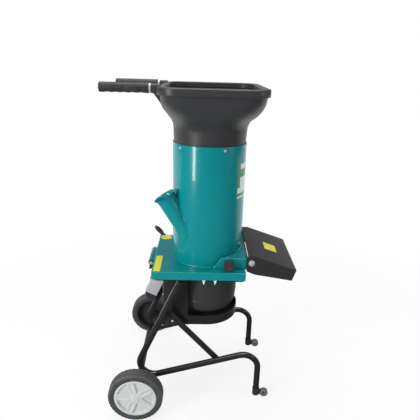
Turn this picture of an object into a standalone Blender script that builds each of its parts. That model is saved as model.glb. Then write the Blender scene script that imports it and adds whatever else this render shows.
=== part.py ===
"""Electric garden shredder. A hopper, drum and deck tilt on a rear hinge over a motor on a wheeled frame.

Metres, +Z up. The origin is on the floor under the middle of the bounding box. +X is the front, where the
chips leave; -X is the rear, where the handles and wheels are; -Y is the right-hand side. Every X below is
measured from the drum's axis, which stands at DRUM_X from the origin.
"""

import math

import bmesh
import bpy
from mathutils import Matrix, Vector

# Overall places
DRUM_X = 0.014
GAP = 0.0003
SIDES = {"right": -1, "left": 1}

# Drum and hopper
DRUM_R = 0.125
DRUM_WALL = 0.0015
DRUM_TOP = 0.932
NECK_SCREW_Z = 0.921
NECK_SCREW_FIRST_DEG = -50.3
HOPPER_BOTTOM = 0.895
HOPPER_WALL = 0.003
RIM_BOTTOM = 1.090
RIM_TOP = 1.114

# Handles
GRIP_Y = 0.131
GRIP_Z = 1.107
GRIP_R = 0.015
GRIP_REAR = -0.334
GRIP_FRONT = -0.186
HANDLE_TUBE_R = 0.010
COLLAR_R = 0.0145
ARM_REAR = -0.180

# Branch feed tube
BRANCH_MOUTH = Vector((-0.1495, -0.070, 0.756))
BRANCH_SLOPE = math.radians(58)
BRANCH_R = 0.0325
BRANCH_WALL = 0.0015
BRANCH_FLARE_R = 0.0405
BRANCH_LENGTH = 0.180

# Deck
DECK_REAR = -0.188
DECK_FRONT = 0.131
DECK_HALF_Y = 0.1635
DECK_TOP = 0.517
DECK_SHEET = 0.0018
LIP_BOTTOM = 0.489
DECK_HOLE_R = 0.1222

# Discharge channel and hood
CHANNEL_HALF_Y = 0.132
CHANNEL_TOP = 0.557
CHANNEL_FRONT = 0.132
SHEET = 0.0015
PIVOT_X = 0.151
PIVOT_Z = 0.543
PIVOT_HOLE_R = 0.0045
HOOD_HALF_Y = 0.137
HOOD_TOP = ((0.140, 0.569), (0.160, 0.569), (0.306, 0.519))
HOOD_UNDER = ((0.293, 0.479), (0.1625, 0.500), (0.147, 0.508))

# Lock knob and the tab that its stud grips
KNOB_X = 0.0725
KNOB_Z = 0.537
KNOB_R = 0.0193
STUD_R = 0.003
TAB_HALF_X = 0.012
TAB_Y = -0.127
TAB_TOP = 0.552
TAB_SLOT = 0.014

# Clips on the right lip
CLIP_X = (-0.0107, 0.0275)
CLIP_HALF_X = 0.0052
CLIP_BOTTOM = 0.4725

# Base plate and rear hinge
BASE_REAR = -0.176
BASE_FRONT = 0.1265
BASE_HALF_Y = 0.1605
BASE_BOTTOM = 0.4835
BASE_TOP = 0.4865
HINGE_X = -0.200
HINGE_Z = 0.500
HINGE_PIN_R = 0.004
BARREL_R = 0.0105
BARREL_HALF_Y = 0.055

# Motor, guard and cutting rotor
GUARD_R = 0.117
GUARD_REAR = -0.157
GUARD_BOTTOM = 0.2845
GUARD_BAND_TOP = 0.320
WINDOW_REAR = -0.065
COVER_R = 0.1125
SHAFT_R = 0.010
SPIGOT_R = 0.008
STATOR_R = 0.075
ROTOR_R = 0.0455
DISC_R = 0.110
DISC_BOTTOM = 0.527
DISC_TOP = 0.535
BLADE_TOP = 0.5388

# Frame tubes, braces, feet
FRAME_Y = 0.150
TUBE_R = 0.011
TUBE_WALL = 0.0015
LEG_TOP = Vector((-0.0900, 0, 0.4785))
REAR_CORNER = Vector((-0.2780, 0, 0.0625))
FRONT_CORNER = Vector((0.1945, 0, 0.1991))
REAR_BEND_R = 0.052
FRONT_BEND_R = 0.055
FOOT_CAP_R = 0.0125
FOOT_CAP_BOTTOM = 0.007
FOOT_EYE_X = 0.2245
FOOT_EYE_R = 0.015
BRACE_LOW = Vector((0.0425, 0, 0.1552))
BRACE_HIGH = Vector((-0.1441, 0, 0.3588))
BRACE_WIDTH = 0.022
BRACE_SHEET = 0.003
GUARD_BOLT_X = -0.0665
GUARD_BOLT_Z = 0.2935
GUARD_BOLT_R = 0.004

# Wheels
AXLE_X = -0.236
AXLE_Z = 0.0935
AXLE_R = 0.010
TYRE_R = 0.0935
TYRE_IN = 0.235
TYRE_OUT = 0.280
WHEEL_R = 0.072
SPOKES = 5

# Switch box on the left leg: along is measured down the leg, out is measured square to it, rearwards
LEG_POINT = Vector((-0.107, 0, 0.441))
LEG_UP = (LEG_TOP - REAR_CORNER).normalized()
LEG_OUT = Vector((-LEG_UP.z, 0, LEG_UP.x))
BOX_OUT = 0.060
BOX_TOP = 0.075
BOX_BOTTOM = 0.216
BOX_Y = (0.122, 0.182)
START_ALONG = 0.112
STOP_ALONG = 0.150
BUTTON_R = 0.0095

# Hand lever at the rear left corner
LEVER_X = -0.165
LEVER_Z = 0.503
LEVER_DEG = 134.0
LEVER_Y = (0.1668, 0.1698)
LEVER_GRIP_Y = 0.1753


def clear_scene():
    for obj in list(bpy.data.objects):
        bpy.data.objects.remove(obj, do_unlink=True)


def finish(name, colour, roughness, metallic=0.0):
    """A plain surface finish."""
    made = bpy.data.materials.new(name)
    made.use_nodes = True
    shader = made.node_tree.nodes["Principled BSDF"]
    shader.inputs["Base Color"].default_value = (*colour, 1.0)
    shader.inputs["Roughness"].default_value = roughness
    shader.inputs["Metallic"].default_value = metallic
    return made


def make_finishes():
    return {
        "teal": finish("teal_paint", (0.0, 0.26, 0.27), 0.25),
        "black": finish("black_paint", (0.012, 0.012, 0.013), 0.3),
        "plastic": finish("black_plastic", (0.026, 0.027, 0.029), 0.45),
        "rubber": finish("rubber", (0.02, 0.02, 0.02), 0.85),
        "tyre": finish("tyre_rubber", (0.07, 0.07, 0.073), 0.8),
        "hub": finish("pale_grey_plastic", (0.6, 0.62, 0.6), 0.5),
        "grey": finish("grey_plastic", (0.65, 0.65, 0.66), 0.5),
        "zinc": finish("zinc_plate", (0.7, 0.7, 0.68), 0.3, 1.0),
        "steel": finish("tool_steel", (0.45, 0.45, 0.46), 0.35, 1.0),
        "aluminium": finish("cast_aluminium", (0.6, 0.6, 0.6), 0.5, 1.0),
        "lamination": finish("stator_steel", (0.3, 0.3, 0.31), 0.5, 1.0),
        "green": finish("green_plastic", (0.02, 0.3, 0.05), 0.4),
        "red": finish("red_plastic", (0.5, 0.02, 0.02), 0.4),
    }


def pivot(name, place, parent=None):
    """An empty on a joint's axis, which carries the pieces of one body. Places are in the drum's frame."""
    empty = bpy.data.objects.new(name, None)
    bpy.context.scene.collection.objects.link(empty)
    empty.empty_display_size = 0.05
    empty["place"] = tuple(place)
    start = Vector(parent["place"]) if parent else Vector((-DRUM_X, 0, 0))
    empty.location = Vector(place) - start
    empty.parent = parent
    return empty


def add(name, shape, material, body):
    """Turns a bmesh, drawn in the drum's frame, into an object whose origin is its body's pivot."""
    bmesh.ops.recalc_face_normals(shape, faces=shape.faces)
    bmesh.ops.translate(shape, verts=shape.verts, vec=-Vector(body["place"]))
    mesh = bpy.data.meshes.new(name)
    shape.to_mesh(mesh)
    shape.free()
    mesh.shade_smooth()
    mesh.set_sharp_from_angle(angle=math.radians(35))
    obj = bpy.data.objects.new(name, mesh)
    bpy.context.scene.collection.objects.link(obj)
    obj.parent = body
    if material:
        mesh.materials.append(material)
    return obj


def combine(obj, shape, operation):
    """Adds or takes away a helper shape, drawn in the drum's frame, with an exact Boolean."""
    helper = add(f"{obj.name}_helper", shape, None, obj.parent)
    helper.hide_render = True
    helper.display_type = "WIRE"
    modifier = obj.modifiers.new(operation.lower(), "BOOLEAN")
    modifier.operation = operation
    modifier.solver = "EXACT"
    modifier.object = helper


def cut(obj, shape):
    combine(obj, shape, "DIFFERENCE")


def join(obj, shape):
    combine(obj, shape, "UNION")


def box(x, y, z):
    """A block between the given (low, high) pairs."""
    shape = bmesh.new()
    bmesh.ops.create_cube(shape, size=1)
    size = Matrix.Diagonal((x[1] - x[0], y[1] - y[0], z[1] - z[0], 1))
    middle = Matrix.Translation(((x[0] + x[1]) / 2, (y[0] + y[1]) / 2, (z[0] + z[1]) / 2))
    bmesh.ops.transform(shape, matrix=middle @ size, verts=shape.verts)
    return shape


def loft(rings):
    """A closed solid through rings of equal count, with a flat cap on the first and on the last."""
    shape = bmesh.new()
    loops = [[shape.verts.new(point) for point in ring] for ring in rings]
    count = len(rings[0])
    for low, high in zip(loops, loops[1:]):
        for i in range(count):
            j = (i + 1) % count
            shape.faces.new((low[i], low[j], high[j], high[i]))
    shape.faces.new(loops[0])
    shape.faces.new(loops[-1])
    return shape


def prism(outline, along, low, high):
    """An outline of pairs, extruded along X, Y or Z. The pairs are (y, z), (x, z) or (x, y)."""
    order = {"X": (2, 0, 1), "Y": (0, 2, 1), "Z": (0, 1, 2)}[along]
    ends = []
    for level in (low, high):
        triples = [(a, b, level) for a, b in outline]
        ends.append([tuple(triple[i] for i in order) for triple in triples])
    return loft(ends)


def turned(profile, start, direction, segments):
    """A profile of (radius, distance) turned round the line from start along direction.

    A profile that starts and ends on the axis makes a solid; any other is closed into a ring.
    """
    shape = bmesh.new()
    turn = Vector(direction).to_track_quat("Z", "Y").to_matrix().to_4x4()
    frame = Matrix.Translation(start) @ turn
    loops = []
    for radius, distance in profile:
        steps = range(segments if radius > 0 else 1)
        angles = [math.tau * i / segments for i in steps]
        points = [Vector((radius * math.cos(a), radius * math.sin(a), distance)) for a in angles]
        loops.append([shape.verts.new(frame @ point) for point in points])
    solid = profile[0][0] == 0
    pairs = list(zip(loops, loops[1:]))
    if not solid:
        pairs.append((loops[-1], loops[0]))
    for low, high in pairs:
        for i in range(segments):
            j = (i + 1) % segments
            corners = [low[i % len(low)], low[j % len(low)], high[j % len(high)], high[i % len(high)]]
            shape.faces.new(list(dict.fromkeys(corners)))
    return shape


def rod(radius, start, direction, length, segments=16):
    return turned([(0, 0), (radius, 0), (radius, length), (0, length)], start, direction, segments)


def bush(outer, inner, start, direction, length, segments=32):
    return turned([(outer, 0), (outer, length), (inner, length), (inner, 0)], start, direction, segments)


def rounded_outline(x, y, radius, steps):
    """The outline of a rectangle between two (low, high) pairs, with each corner an arc of the radius."""
    outline = []
    corners = ((x[1], y[1], 0), (x[0], y[1], 90), (x[0], y[0], 180), (x[1], y[0], 270))
    for corner_x, corner_y, first in corners:
        middle_x = corner_x - math.copysign(radius, corner_x - (x[0] + x[1]) / 2)
        middle_y = corner_y - math.copysign(radius, corner_y - (y[0] + y[1]) / 2)
        for i in range(steps + 1):
            a = math.radians(first + 90 * i / steps)
            outline.append((middle_x + radius * math.cos(a), middle_y + radius * math.sin(a)))
    return outline


def bent_path(corners, radii, steps):
    """A path of straight runs, with each inner corner replaced by an arc of the given radius."""
    path = [corners[0]]
    for before, corner, after, radius in zip(corners, corners[1:], corners[2:], radii):
        back = (before - corner).normalized()
        ahead = (after - corner).normalized()
        half = back.angle(ahead) / 2
        middle = corner + (back + ahead).normalized() * (radius / math.sin(half))
        start = corner + back * (radius / math.tan(half)) - middle
        end = corner + ahead * (radius / math.tan(half)) - middle
        path += [middle + start.slerp(end, i / steps).normalized() * radius for i in range(steps + 1)]
    return path + [corners[-1]]


def pipe(path, outer, inner, segments):
    """A tube with open ends along a path that lies in a plane of constant Y."""
    side = Vector((0, 1, 0))
    rings = {outer: [], inner: []}
    for i, point in enumerate(path):
        ahead = (path[min(i + 1, len(path) - 1)] - path[max(i - 1, 0)]).normalized()
        across = ahead.cross(side)
        for radius, made in rings.items():
            angles = [math.tau * k / segments for k in range(segments)]
            made.append([point + radius * (side * math.cos(a) + across * math.sin(a)) for a in angles])
    shape = bmesh.new()
    loops = [[shape.verts.new(p) for p in ring] for ring in rings[outer] + rings[inner][::-1]]
    for low, high in zip(loops, loops[1:] + loops[:1]):
        for k in range(segments):
            j = (k + 1) % segments
            shape.faces.new((low[k], low[j], high[j], high[k]))
    return shape


def on_drum(degrees, radius, z):
    """A point round the drum, with degrees from -Y towards +X."""
    a = math.radians(degrees)
    return Vector((radius * math.sin(a), -radius * math.cos(a), z))


def by_leg(along, out, y):
    """A point by the leg: along is down it, out is rearwards, square to it."""
    return LEG_POINT - LEG_UP * along + LEG_OUT * out + Vector((0, y, 0))


def branch_direction():
    return Vector((math.cos(BRANCH_SLOPE), 0, -math.sin(BRANCH_SLOPE)))


# ---- Housing: everything that tilts on the rear hinge ----


def make_drum(body, look):
    low = DECK_TOP + GAP
    profile = [(DRUM_R, low), (DRUM_R, DRUM_TOP), (DRUM_R - DRUM_WALL, DRUM_TOP), (DRUM_R - DRUM_WALL, low)]
    drum = add("drum", turned(profile, (0, 0, 0), (0, 0, 1), 48), look["teal"], body)
    bore = BRANCH_R - BRANCH_WALL
    cut(drum, rod(bore, BRANCH_MOUTH, branch_direction(), 0.205, 20))
    cut(drum, box((0.090, 0.140), (-0.085, 0.085), (low - 0.001, 0.551)))
    for i in range(5):
        degrees = NECK_SCREW_FIRST_DEG + 72 * i
        cut(drum, rod(0.0028, on_drum(degrees, 0.115, NECK_SCREW_Z), on_drum(degrees, 1, 0), 0.02, 8))


def make_branch_tube(body, look):
    """A straight tube with a flared mouth, cut to the drum's outside."""
    flare = [(0, BRANCH_FLARE_R), (0.006, BRANCH_FLARE_R - 0.0045), (0.018, BRANCH_R)]
    outside = [(radius, distance) for distance, radius in flare] + [(BRANCH_R, BRANCH_LENGTH)]
    inside = [(radius - BRANCH_WALL, distance) for radius, distance in outside[::-1]]
    shape = turned(outside + inside, BRANCH_MOUTH, branch_direction(), 20)
    tube = add("branch_tube", shape, look["teal"], body)
    cut(tube, rod(DRUM_R + GAP, (0, 0, 0.45), (0, 0, 1), 0.5, 48))


def make_deck(body, look):
    """A folded sheet tray, open below, with a hole under the drum and a slot for the locking tab."""
    corner = 0.006
    steps = 3
    outline = rounded_outline((DECK_REAR, DECK_FRONT), (-DECK_HALF_Y, DECK_HALF_Y), corner, steps)
    deck = add("deck", prism(outline, "Z", LIP_BOTTOM, DECK_TOP), look["teal"], body)
    inside_x = (DECK_REAR + DECK_SHEET, DECK_FRONT - DECK_SHEET)
    inside_y = (-DECK_HALF_Y + DECK_SHEET, DECK_HALF_Y - DECK_SHEET)
    inside = rounded_outline(inside_x, inside_y, corner - DECK_SHEET, steps)
    cut(deck, prism(inside, "Z", LIP_BOTTOM - 0.01, DECK_TOP - DECK_SHEET))
    cut(deck, rod(DECK_HOLE_R, (0, 0, 0.50), (0, 0, 1), 0.03, 48))
    cut(deck, box((KNOB_X - 0.018, KNOB_X + 0.020), (TAB_Y - 0.003, TAB_Y + 0.003), (0.50, 0.53)))
    cut(deck, rod(HINGE_PIN_R + 0.0003, (LEVER_X, 0.15, LEVER_Z), (0, 1, 0), 0.03, 12))


def make_channel(body, look):
    """The low duct that leads chips from the drum to the hood, with an ear at each front end."""
    low = DECK_TOP + GAP
    half = CHANNEL_HALF_Y
    plan = [(0.018, -0.1245), (0.045, -half), (CHANNEL_FRONT, -half)]
    plan += [(x, -y) for x, y in plan[::-1]]
    channel = add("discharge_channel", prism(plan, "Z", low, CHANNEL_TOP), look["teal"], body)
    inner_half = half - SHEET
    inner = [(0.018, -0.1230), (0.0452, -inner_half), (CHANNEL_FRONT + 0.01, -inner_half)]
    inner += [(x, -y) for x, y in inner[::-1]]
    cut(channel, prism(inner, "Z", low - 0.01, CHANNEL_TOP - SHEET))
    ear = [(0.120, low + 0.002), (0.156, 0.530)]
    for degrees in range(-60, 91, 30):
        a = math.radians(degrees)
        ear.append((PIVOT_X + 0.014 * math.cos(a), PIVOT_Z + 0.014 * math.sin(a)))
    ear.append((0.120, CHANNEL_TOP))
    for side in SIDES.values():
        inner_y, outer_y = sorted((side * inner_half, side * half))
        join(channel, prism(ear, "Y", inner_y, outer_y))
    cut(channel, rod(DRUM_R + GAP, (0, 0, 0.50), (0, 0, 1), 0.1, 48))
    cut(channel, rod(PIVOT_HOLE_R, (PIVOT_X, -0.15, PIVOT_Z), (0, 1, 0), 0.30, 12))
    cut(channel, rod(STUD_R + 0.0005, (KNOB_X, -0.15, KNOB_Z), (0, 1, 0), 0.03, 12))


def hopper_sections():
    """(height, x low, x high, half of y, corner radius) up the outside: a round neck, then a trough."""
    return [
        (HOPPER_BOTTOM, -0.1205, 0.1205, 0.1205, 0.1205),
        (DRUM_TOP, -0.1220, 0.1220, 0.1220, 0.1220),
        (0.980, -0.1235, 0.1255, 0.1250, 0.1245),
        (0.992, -0.1245, 0.1280, 0.1320, 0.1225),
        (1.005, -0.1280, 0.1320, 0.1450, 0.1180),
        (1.026, -0.1380, 0.1500, 0.1690, 0.1080),
        (1.0485, -0.1500, 0.1620, 0.1880, 0.0950),
        (1.070, -0.1550, 0.1665, 0.2000, 0.0800),
        (RIM_BOTTOM, -0.1560, 0.1680, 0.2060, 0.0700),
    ]


def hopper_ring(section, inset=0.0):
    z, low, high, half, radius = section
    outline = rounded_outline((low + inset, high - inset), (-half + inset, half - inset), radius - inset, 6)
    return [(x, y, z) for x, y in outline]


def make_hopper(body, look):
    """A moulded shell: neck, trough, turned-out rim, and two arms with webs that hold the handle tubes."""
    outside = hopper_sections()
    rim = [
        (RIM_BOTTOM, -0.1610, 0.1730, 0.2180, 0.0620),
        (RIM_TOP - 0.005, -0.1610, 0.1730, 0.2180, 0.0620),
        (RIM_TOP - 0.0015, -0.1595, 0.1715, 0.2165, 0.0605),
        (RIM_TOP, -0.1560, 0.1680, 0.2130, 0.0570),
    ]
    hopper = add("hopper", loft([hopper_ring(s) for s in outside + rim]), look["plastic"], body)
    web = [(-0.176, 1.094), (-0.150, 1.094), (-0.130, 1.048), (-0.144, 1.048)]
    for side in SIDES.values():
        y = side * GRIP_Y
        join(hopper, box((ARM_REAR, -0.150), (y - 0.0125, y + 0.0125), (1.0925, 1.1195)))
        join(hopper, prism(web, "Y", y - 0.004, y + 0.004))
    mouth = [
        (1.100, -0.1460, 0.1580, 0.1995, 0.0540),
        (RIM_TOP - 0.002, -0.1440, 0.1560, 0.1980, 0.0520),
        (RIM_TOP + 0.001, -0.1410, 0.1530, 0.1950, 0.0490),
        (RIM_TOP + 0.020, -0.1410, 0.1530, 0.1950, 0.0490),
    ]
    below = (HOPPER_BOTTOM - 0.01, -0.1205, 0.1205, 0.1205, 0.1205)
    inside = [hopper_ring(s, HOPPER_WALL) for s in [below] + outside[:-1]] + [hopper_ring(s) for s in mouth]
    cut(hopper, loft(inside))
    for side in SIDES.values():
        start = (ARM_REAR - 0.005, side * GRIP_Y, GRIP_Z)
        cut(hopper, rod(HANDLE_TUBE_R + 0.0004, start, (1, 0, 0), 0.026, 16))
    for i in range(5):
        degrees = NECK_SCREW_FIRST_DEG + 72 * i
        cut(hopper, rod(0.0028, on_drum(degrees, 0.110, NECK_SCREW_Z), on_drum(degrees, 1, 0), 0.02, 8))


def make_handles(body, look):
    for name, side in SIDES.items():
        y = side * GRIP_Y
        rear = GRIP_REAR - GRIP_FRONT + 0.0015
        front = 0.0245
        tube = [(0, rear), (HANDLE_TUBE_R, rear), (HANDLE_TUBE_R, GAP), (COLLAR_R, GAP)]
        tube += [(COLLAR_R, 0.0055), (HANDLE_TUBE_R, 0.0055), (HANDLE_TUBE_R, front), (0, front)]
        add(f"handle_tube_{name}", turned(tube, (GRIP_FRONT, y, GRIP_Z), (1, 0, 0), 16), look["zinc"], body)
        length = GRIP_FRONT - GRIP_REAR
        bore = HANDLE_TUBE_R + GAP
        sleeve = [(0, 0), (GRIP_R - 0.002, 0), (GRIP_R, 0.002), (GRIP_R, length), (bore, length)]
        sleeve += [(bore, 0.0012), (0, 0.0012)]
        add(f"grip_{name}", turned(sleeve, (GRIP_REAR, y, GRIP_Z), (1, 0, 0), 20), look["rubber"], body)


def make_neck_screws(body, look):
    for i in range(5):
        degrees = NECK_SCREW_FIRST_DEG + 72 * i
        base = DRUM_R + GAP
        profile = [(0, 0.1165), (0.0022, 0.1165), (0.0022, base), (0.0048, base)]
        profile += [(0.0046, base + 0.0018), (0.0028, base + 0.0034), (0, base + 0.0034)]
        screw = turned(profile, (0, 0, NECK_SCREW_Z), on_drum(degrees, 1, 0), 8)
        add(f"neck_screw_{i + 1}", screw, look["zinc"], body)


def make_hinge_barrel(body, look):
    line = (HINGE_X, -BARREL_HALF_Y, HINGE_Z)
    barrel = add("hinge_barrel", rod(BARREL_R, line, (0, 1, 0), 2 * BARREL_HALF_Y, 24), look["teal"], body)
    leaf_front = DECK_REAR - GAP
    join(barrel, box((leaf_front - 0.0035, leaf_front), (-BARREL_HALF_Y, BARREL_HALF_Y), (0.4925, 0.5125)))
    cut(barrel, rod(HINGE_PIN_R + GAP, (HINGE_X, -0.1, HINGE_Z), (0, 1, 0), 0.2, 16))


def make_counter_blade(body, look):
    add("counter_blade", box((-0.1222, -0.030), (-0.0125, 0.0125), (0.541, 0.547)), look["steel"], body)


def make_lip_clips(body, look):
    """Two pointed clips under the right lip, each with a tongue behind the lip."""
    outer = -DECK_HALF_Y - 0.0015
    inner = -BASE_HALF_Y - GAP
    top = LIP_BOTTOM - GAP
    behind = -DECK_HALF_Y + DECK_SHEET + GAP
    for i, x in enumerate(CLIP_X):
        tip = 0.0006
        outline = [(x - CLIP_HALF_X, top), (x + CLIP_HALF_X, top)]
        outline += [(x + tip, CLIP_BOTTOM), (x - tip, CLIP_BOTTOM)]
        clip = add(f"lip_clip_{i + 1}", prism(outline, "Y", outer, inner), look["grey"], body)
        tongue_z = (BASE_TOP + GAP, LIP_BOTTOM + 0.007)
        join(clip, box((x - 0.003, x + 0.003), (behind, behind + 0.0016), tongue_z))


def make_pivot_bolts(body, look):
    """Each bolt has its nut inside the channel's ear, and a washer and domed head outside the hood."""
    inner = CHANNEL_HALF_Y - SHEET - GAP
    outer = HOOD_HALF_Y + GAP
    profile = [(0, inner - 0.006), (0.007, inner - 0.006), (0.007, inner), (0.004, inner), (0.004, outer)]
    profile += [(0.011, outer), (0.011, outer + 0.0015), (0.0078, outer + 0.0015), (0.0078, outer + 0.005)]
    profile += [(0.005, outer + 0.0072), (0, outer + 0.008)]
    for name, side in SIDES.items():
        bolt = turned(profile, (PIVOT_X, 0, PIVOT_Z), (0, side, 0), 12)
        add(f"hood_pivot_bolt_{name}", bolt, look["zinc"], body)


def make_hood(body, look):
    """A sheet cover, open below and towards the channel."""
    outline = HOOD_TOP + HOOD_UNDER
    hood = add("discharge_hood", prism(outline, "Y", -HOOD_HALF_Y, HOOD_HALF_Y), look["black"], body)
    open_rear = 0.120
    open_under = 0.460
    inner = [(open_rear, open_under), (open_rear, 0.5675), (0.1598, 0.5675)]
    inner += [(0.3041, 0.5180), (0.2865, open_under)]
    inner_half = HOOD_HALF_Y - SHEET
    cut(hood, prism(inner, "Y", -inner_half, inner_half))
    cut(hood, rod(PIVOT_HOLE_R, (PIVOT_X, -0.15, PIVOT_Z), (0, 1, 0), 0.30, 12))


def make_knob(body, look):
    """A lobed hand knob on a stud that goes through the channel's wall to the tab behind it."""
    near = -CHANNEL_HALF_Y - 0.0015
    lobes = 6
    steps = 4 * lobes
    outline = []
    for i in range(steps):
        a = math.tau * i / steps
        radius = KNOB_R - 0.0016 * (1 - math.cos(lobes * a)) / 2
        outline.append((KNOB_X + radius * math.cos(a), KNOB_Z + radius * math.sin(a)))
    knob = add("lock_knob", prism(outline, "Y", near - 0.026, near - 0.004), look["plastic"], body)
    join(knob, rod(0.010, (KNOB_X, near - 0.006, KNOB_Z), (0, 1, 0), 0.0055, 16))
    join(knob, rod(STUD_R, (KNOB_X, near - 0.008, KNOB_Z), (0, 1, 0), 0.0180, 10))


def make_lever(body, housing, look):
    """A hand lever on the left lip, with a fat grip, and the bolt that it turns on."""
    direction = Vector((math.cos(math.radians(LEVER_DEG)), 0, math.sin(math.radians(LEVER_DEG))))
    across = Vector((-direction.z, 0, direction.x)) * 0.006
    centre = Vector((LEVER_X, 0, LEVER_Z))
    tip = centre + direction * 0.034
    outline = [(p.x, p.z) for p in (centre - across, centre + across, tip + across, tip - across)]
    lever = add("catch_lever", prism(outline, "Y", *LEVER_Y), look["plastic"], body)
    join(lever, rod(0.009, (LEVER_X, LEVER_Y[0], LEVER_Z), (0, 1, 0), LEVER_Y[1] - LEVER_Y[0], 20))
    grip = [(0, 0.018), (0.005, 0.019), (0.0085, 0.028), (0.0098, 0.042)]
    grip += [(0.008, 0.056), (0.004, 0.064), (0, 0.066)]
    join(lever, turned(grip, (LEVER_X, LEVER_GRIP_Y, LEVER_Z), direction, 12))
    cut(lever, rod(HINGE_PIN_R + GAP, (LEVER_X, 0.15, LEVER_Z), (0, 1, 0), 0.04, 12))
    lip = DECK_HALF_Y
    profile = [(0, lip - 0.006), (0.007, lip - 0.006), (0.007, lip - DECK_SHEET - GAP)]
    profile += [(HINGE_PIN_R, lip - DECK_SHEET - GAP), (HINGE_PIN_R, lip + GAP), (0.007, lip + GAP)]
    profile += [(0.007, LEVER_Y[0] - GAP), (HINGE_PIN_R, LEVER_Y[0] - GAP), (HINGE_PIN_R, LEVER_Y[1] + GAP)]
    profile += [(0.0075, LEVER_Y[1] + GAP), (0.0075, LEVER_Y[1] + 0.0035), (0, LEVER_Y[1] + 0.0045)]
    bolt = turned(profile, (LEVER_X, 0, LEVER_Z), (0, 1, 0), 10)
    add("lever_pivot_bolt", bolt, look["zinc"], housing)


# ---- Chassis: the frame, the base plate and the motor's fixed pieces ----


def make_base_plate(body, look):
    """The plate under the deck, with two hinge ears at the rear and the upright locking tab."""
    outline = rounded_outline((BASE_REAR, BASE_FRONT), (-BASE_HALF_Y, BASE_HALF_Y), 0.006, 2)
    plate = add("base_plate", prism(outline, "Z", BASE_BOTTOM, BASE_TOP), look["black"], body)
    for side in SIDES.values():
        ear_y = sorted((side * (BARREL_HALF_Y + 0.002), side * (BARREL_HALF_Y + 0.005)))
        foot_y = sorted((side * (BARREL_HALF_Y + 0.002), side * (BARREL_HALF_Y + 0.020)))
        join(plate, box((HINGE_X - 0.006, BASE_REAR + 0.006), foot_y, (BASE_BOTTOM, BASE_TOP)))
        join(plate, box((HINGE_X - 0.006, HINGE_X + 0.006), ear_y, (BASE_BOTTOM + 0.001, HINGE_Z)))
        join(plate, rod(0.009, (HINGE_X, ear_y[0], HINGE_Z), (0, 1, 0), ear_y[1] - ear_y[0], 20))
    tab_x = (KNOB_X - TAB_HALF_X, KNOB_X + TAB_HALF_X)
    join(plate, box(tab_x, (TAB_Y - 0.0015, TAB_Y + 0.0015), (BASE_BOTTOM + 0.001, TAB_TOP)))
    slot_x = (KNOB_X - TAB_SLOT / 2, KNOB_X + TAB_SLOT / 2)
    cut(plate, box(slot_x, (TAB_Y - 0.005, TAB_Y + 0.005), (KNOB_Z - 0.0045, TAB_TOP + 0.01)))
    cut(plate, rod(HINGE_PIN_R + GAP, (HINGE_X, -0.1, HINGE_Z), (0, 1, 0), 0.2, 16))
    cut(plate, rod(0.013, (0, 0, 0.47), (0, 0, 1), 0.03, 24))


def make_hinge_pin(body, look):
    end = BARREL_HALF_Y + 0.0053
    profile = [(0, -end - 0.003), (0.0062, -end - 0.003), (0.0062, -end), (HINGE_PIN_R, -end)]
    profile += [(radius, -distance) for radius, distance in profile[::-1]]
    add("hinge_pin", turned(profile, (HINGE_X, 0, HINGE_Z), (0, 1, 0), 12), look["zinc"], body)


def make_buffers(body, look):
    height = DECK_TOP - DECK_SHEET - GAP - BASE_TOP - GAP
    profile = [(0, 0), (0.008, 0), (0.0085, height * 0.3)]
    profile += [(0.0085, height * 0.7), (0.008, height), (0, height)]
    for name, side in SIDES.items():
        pad = turned(profile, (0.106, side * 0.146, BASE_TOP + GAP), (0, 0, 1), 16)
        add(f"rest_buffer_{name}", pad, look["rubber"], body)


def guard_plan(inset):
    """The guard's outline from above: a half circle, straight sides, and a rear wall with cut corners."""
    radius = GUARD_R - inset
    arc = [math.radians(-90 + 180 * i / 16) for i in range(17)]
    plan = [(radius * math.cos(a), radius * math.sin(a)) for a in arc]
    chamfer = 0.4 * inset
    rear = [(-0.122 + chamfer, radius), (GUARD_REAR + inset, 0.080 - chamfer)]
    return plan + rear + [(x, -y) for x, y in rear[::-1]]


def make_guard(body, look):
    """A sheet wall round the motor: tall at the rear, a low band in front, and the rear foot cut away."""
    top = BASE_BOTTOM - GAP
    guard = add("motor_guard", prism(guard_plan(0), "Z", GUARD_BOTTOM, top), look["black"], body)
    cut(guard, prism(guard_plan(SHEET), "Z", GUARD_BOTTOM - 0.01, top + 0.01))
    cut(guard, box((WINDOW_REAR, 0.15), (-0.15, 0.15), (GUARD_BAND_TOP, top + 0.01)))
    wedge = [(-0.180, 0.3990), (-0.180, 0.270), (-0.0957, 0.270)]
    cut(guard, prism(wedge, "Y", -0.15, 0.15))
    cut(guard, rod(GUARD_BOLT_R + GAP, (GUARD_BOLT_X, -0.15, GUARD_BOLT_Z), (0, 1, 0), 0.30, 12))


def make_motor_cover(body, look):
    """A moulded cup under the base plate, with a groove round it and a rounded bottom."""
    top = BASE_BOTTOM - GAP
    outside = [
        (COVER_R + 0.001, top), (COVER_R, 0.378), (COVER_R - 0.003, 0.3745), (COVER_R - 0.001, 0.370),
        (0.1085, 0.345), (0.0985, 0.326), (0.076, 0.313), (0.030, 0.3065),
    ]
    wall = 0.0025
    inside = [
        (0.030, 0.3090), (0.074, 0.3155), (0.096, 0.328), (0.1060, 0.346),
        (COVER_R - 0.003 - wall, 0.371), (COVER_R + 0.001 - wall, top),
    ]
    cover = turned(outside + inside, (0, 0, 0), (0, 0, 1), 40)
    add("motor_cover", cover, look["plastic"], body)


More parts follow.
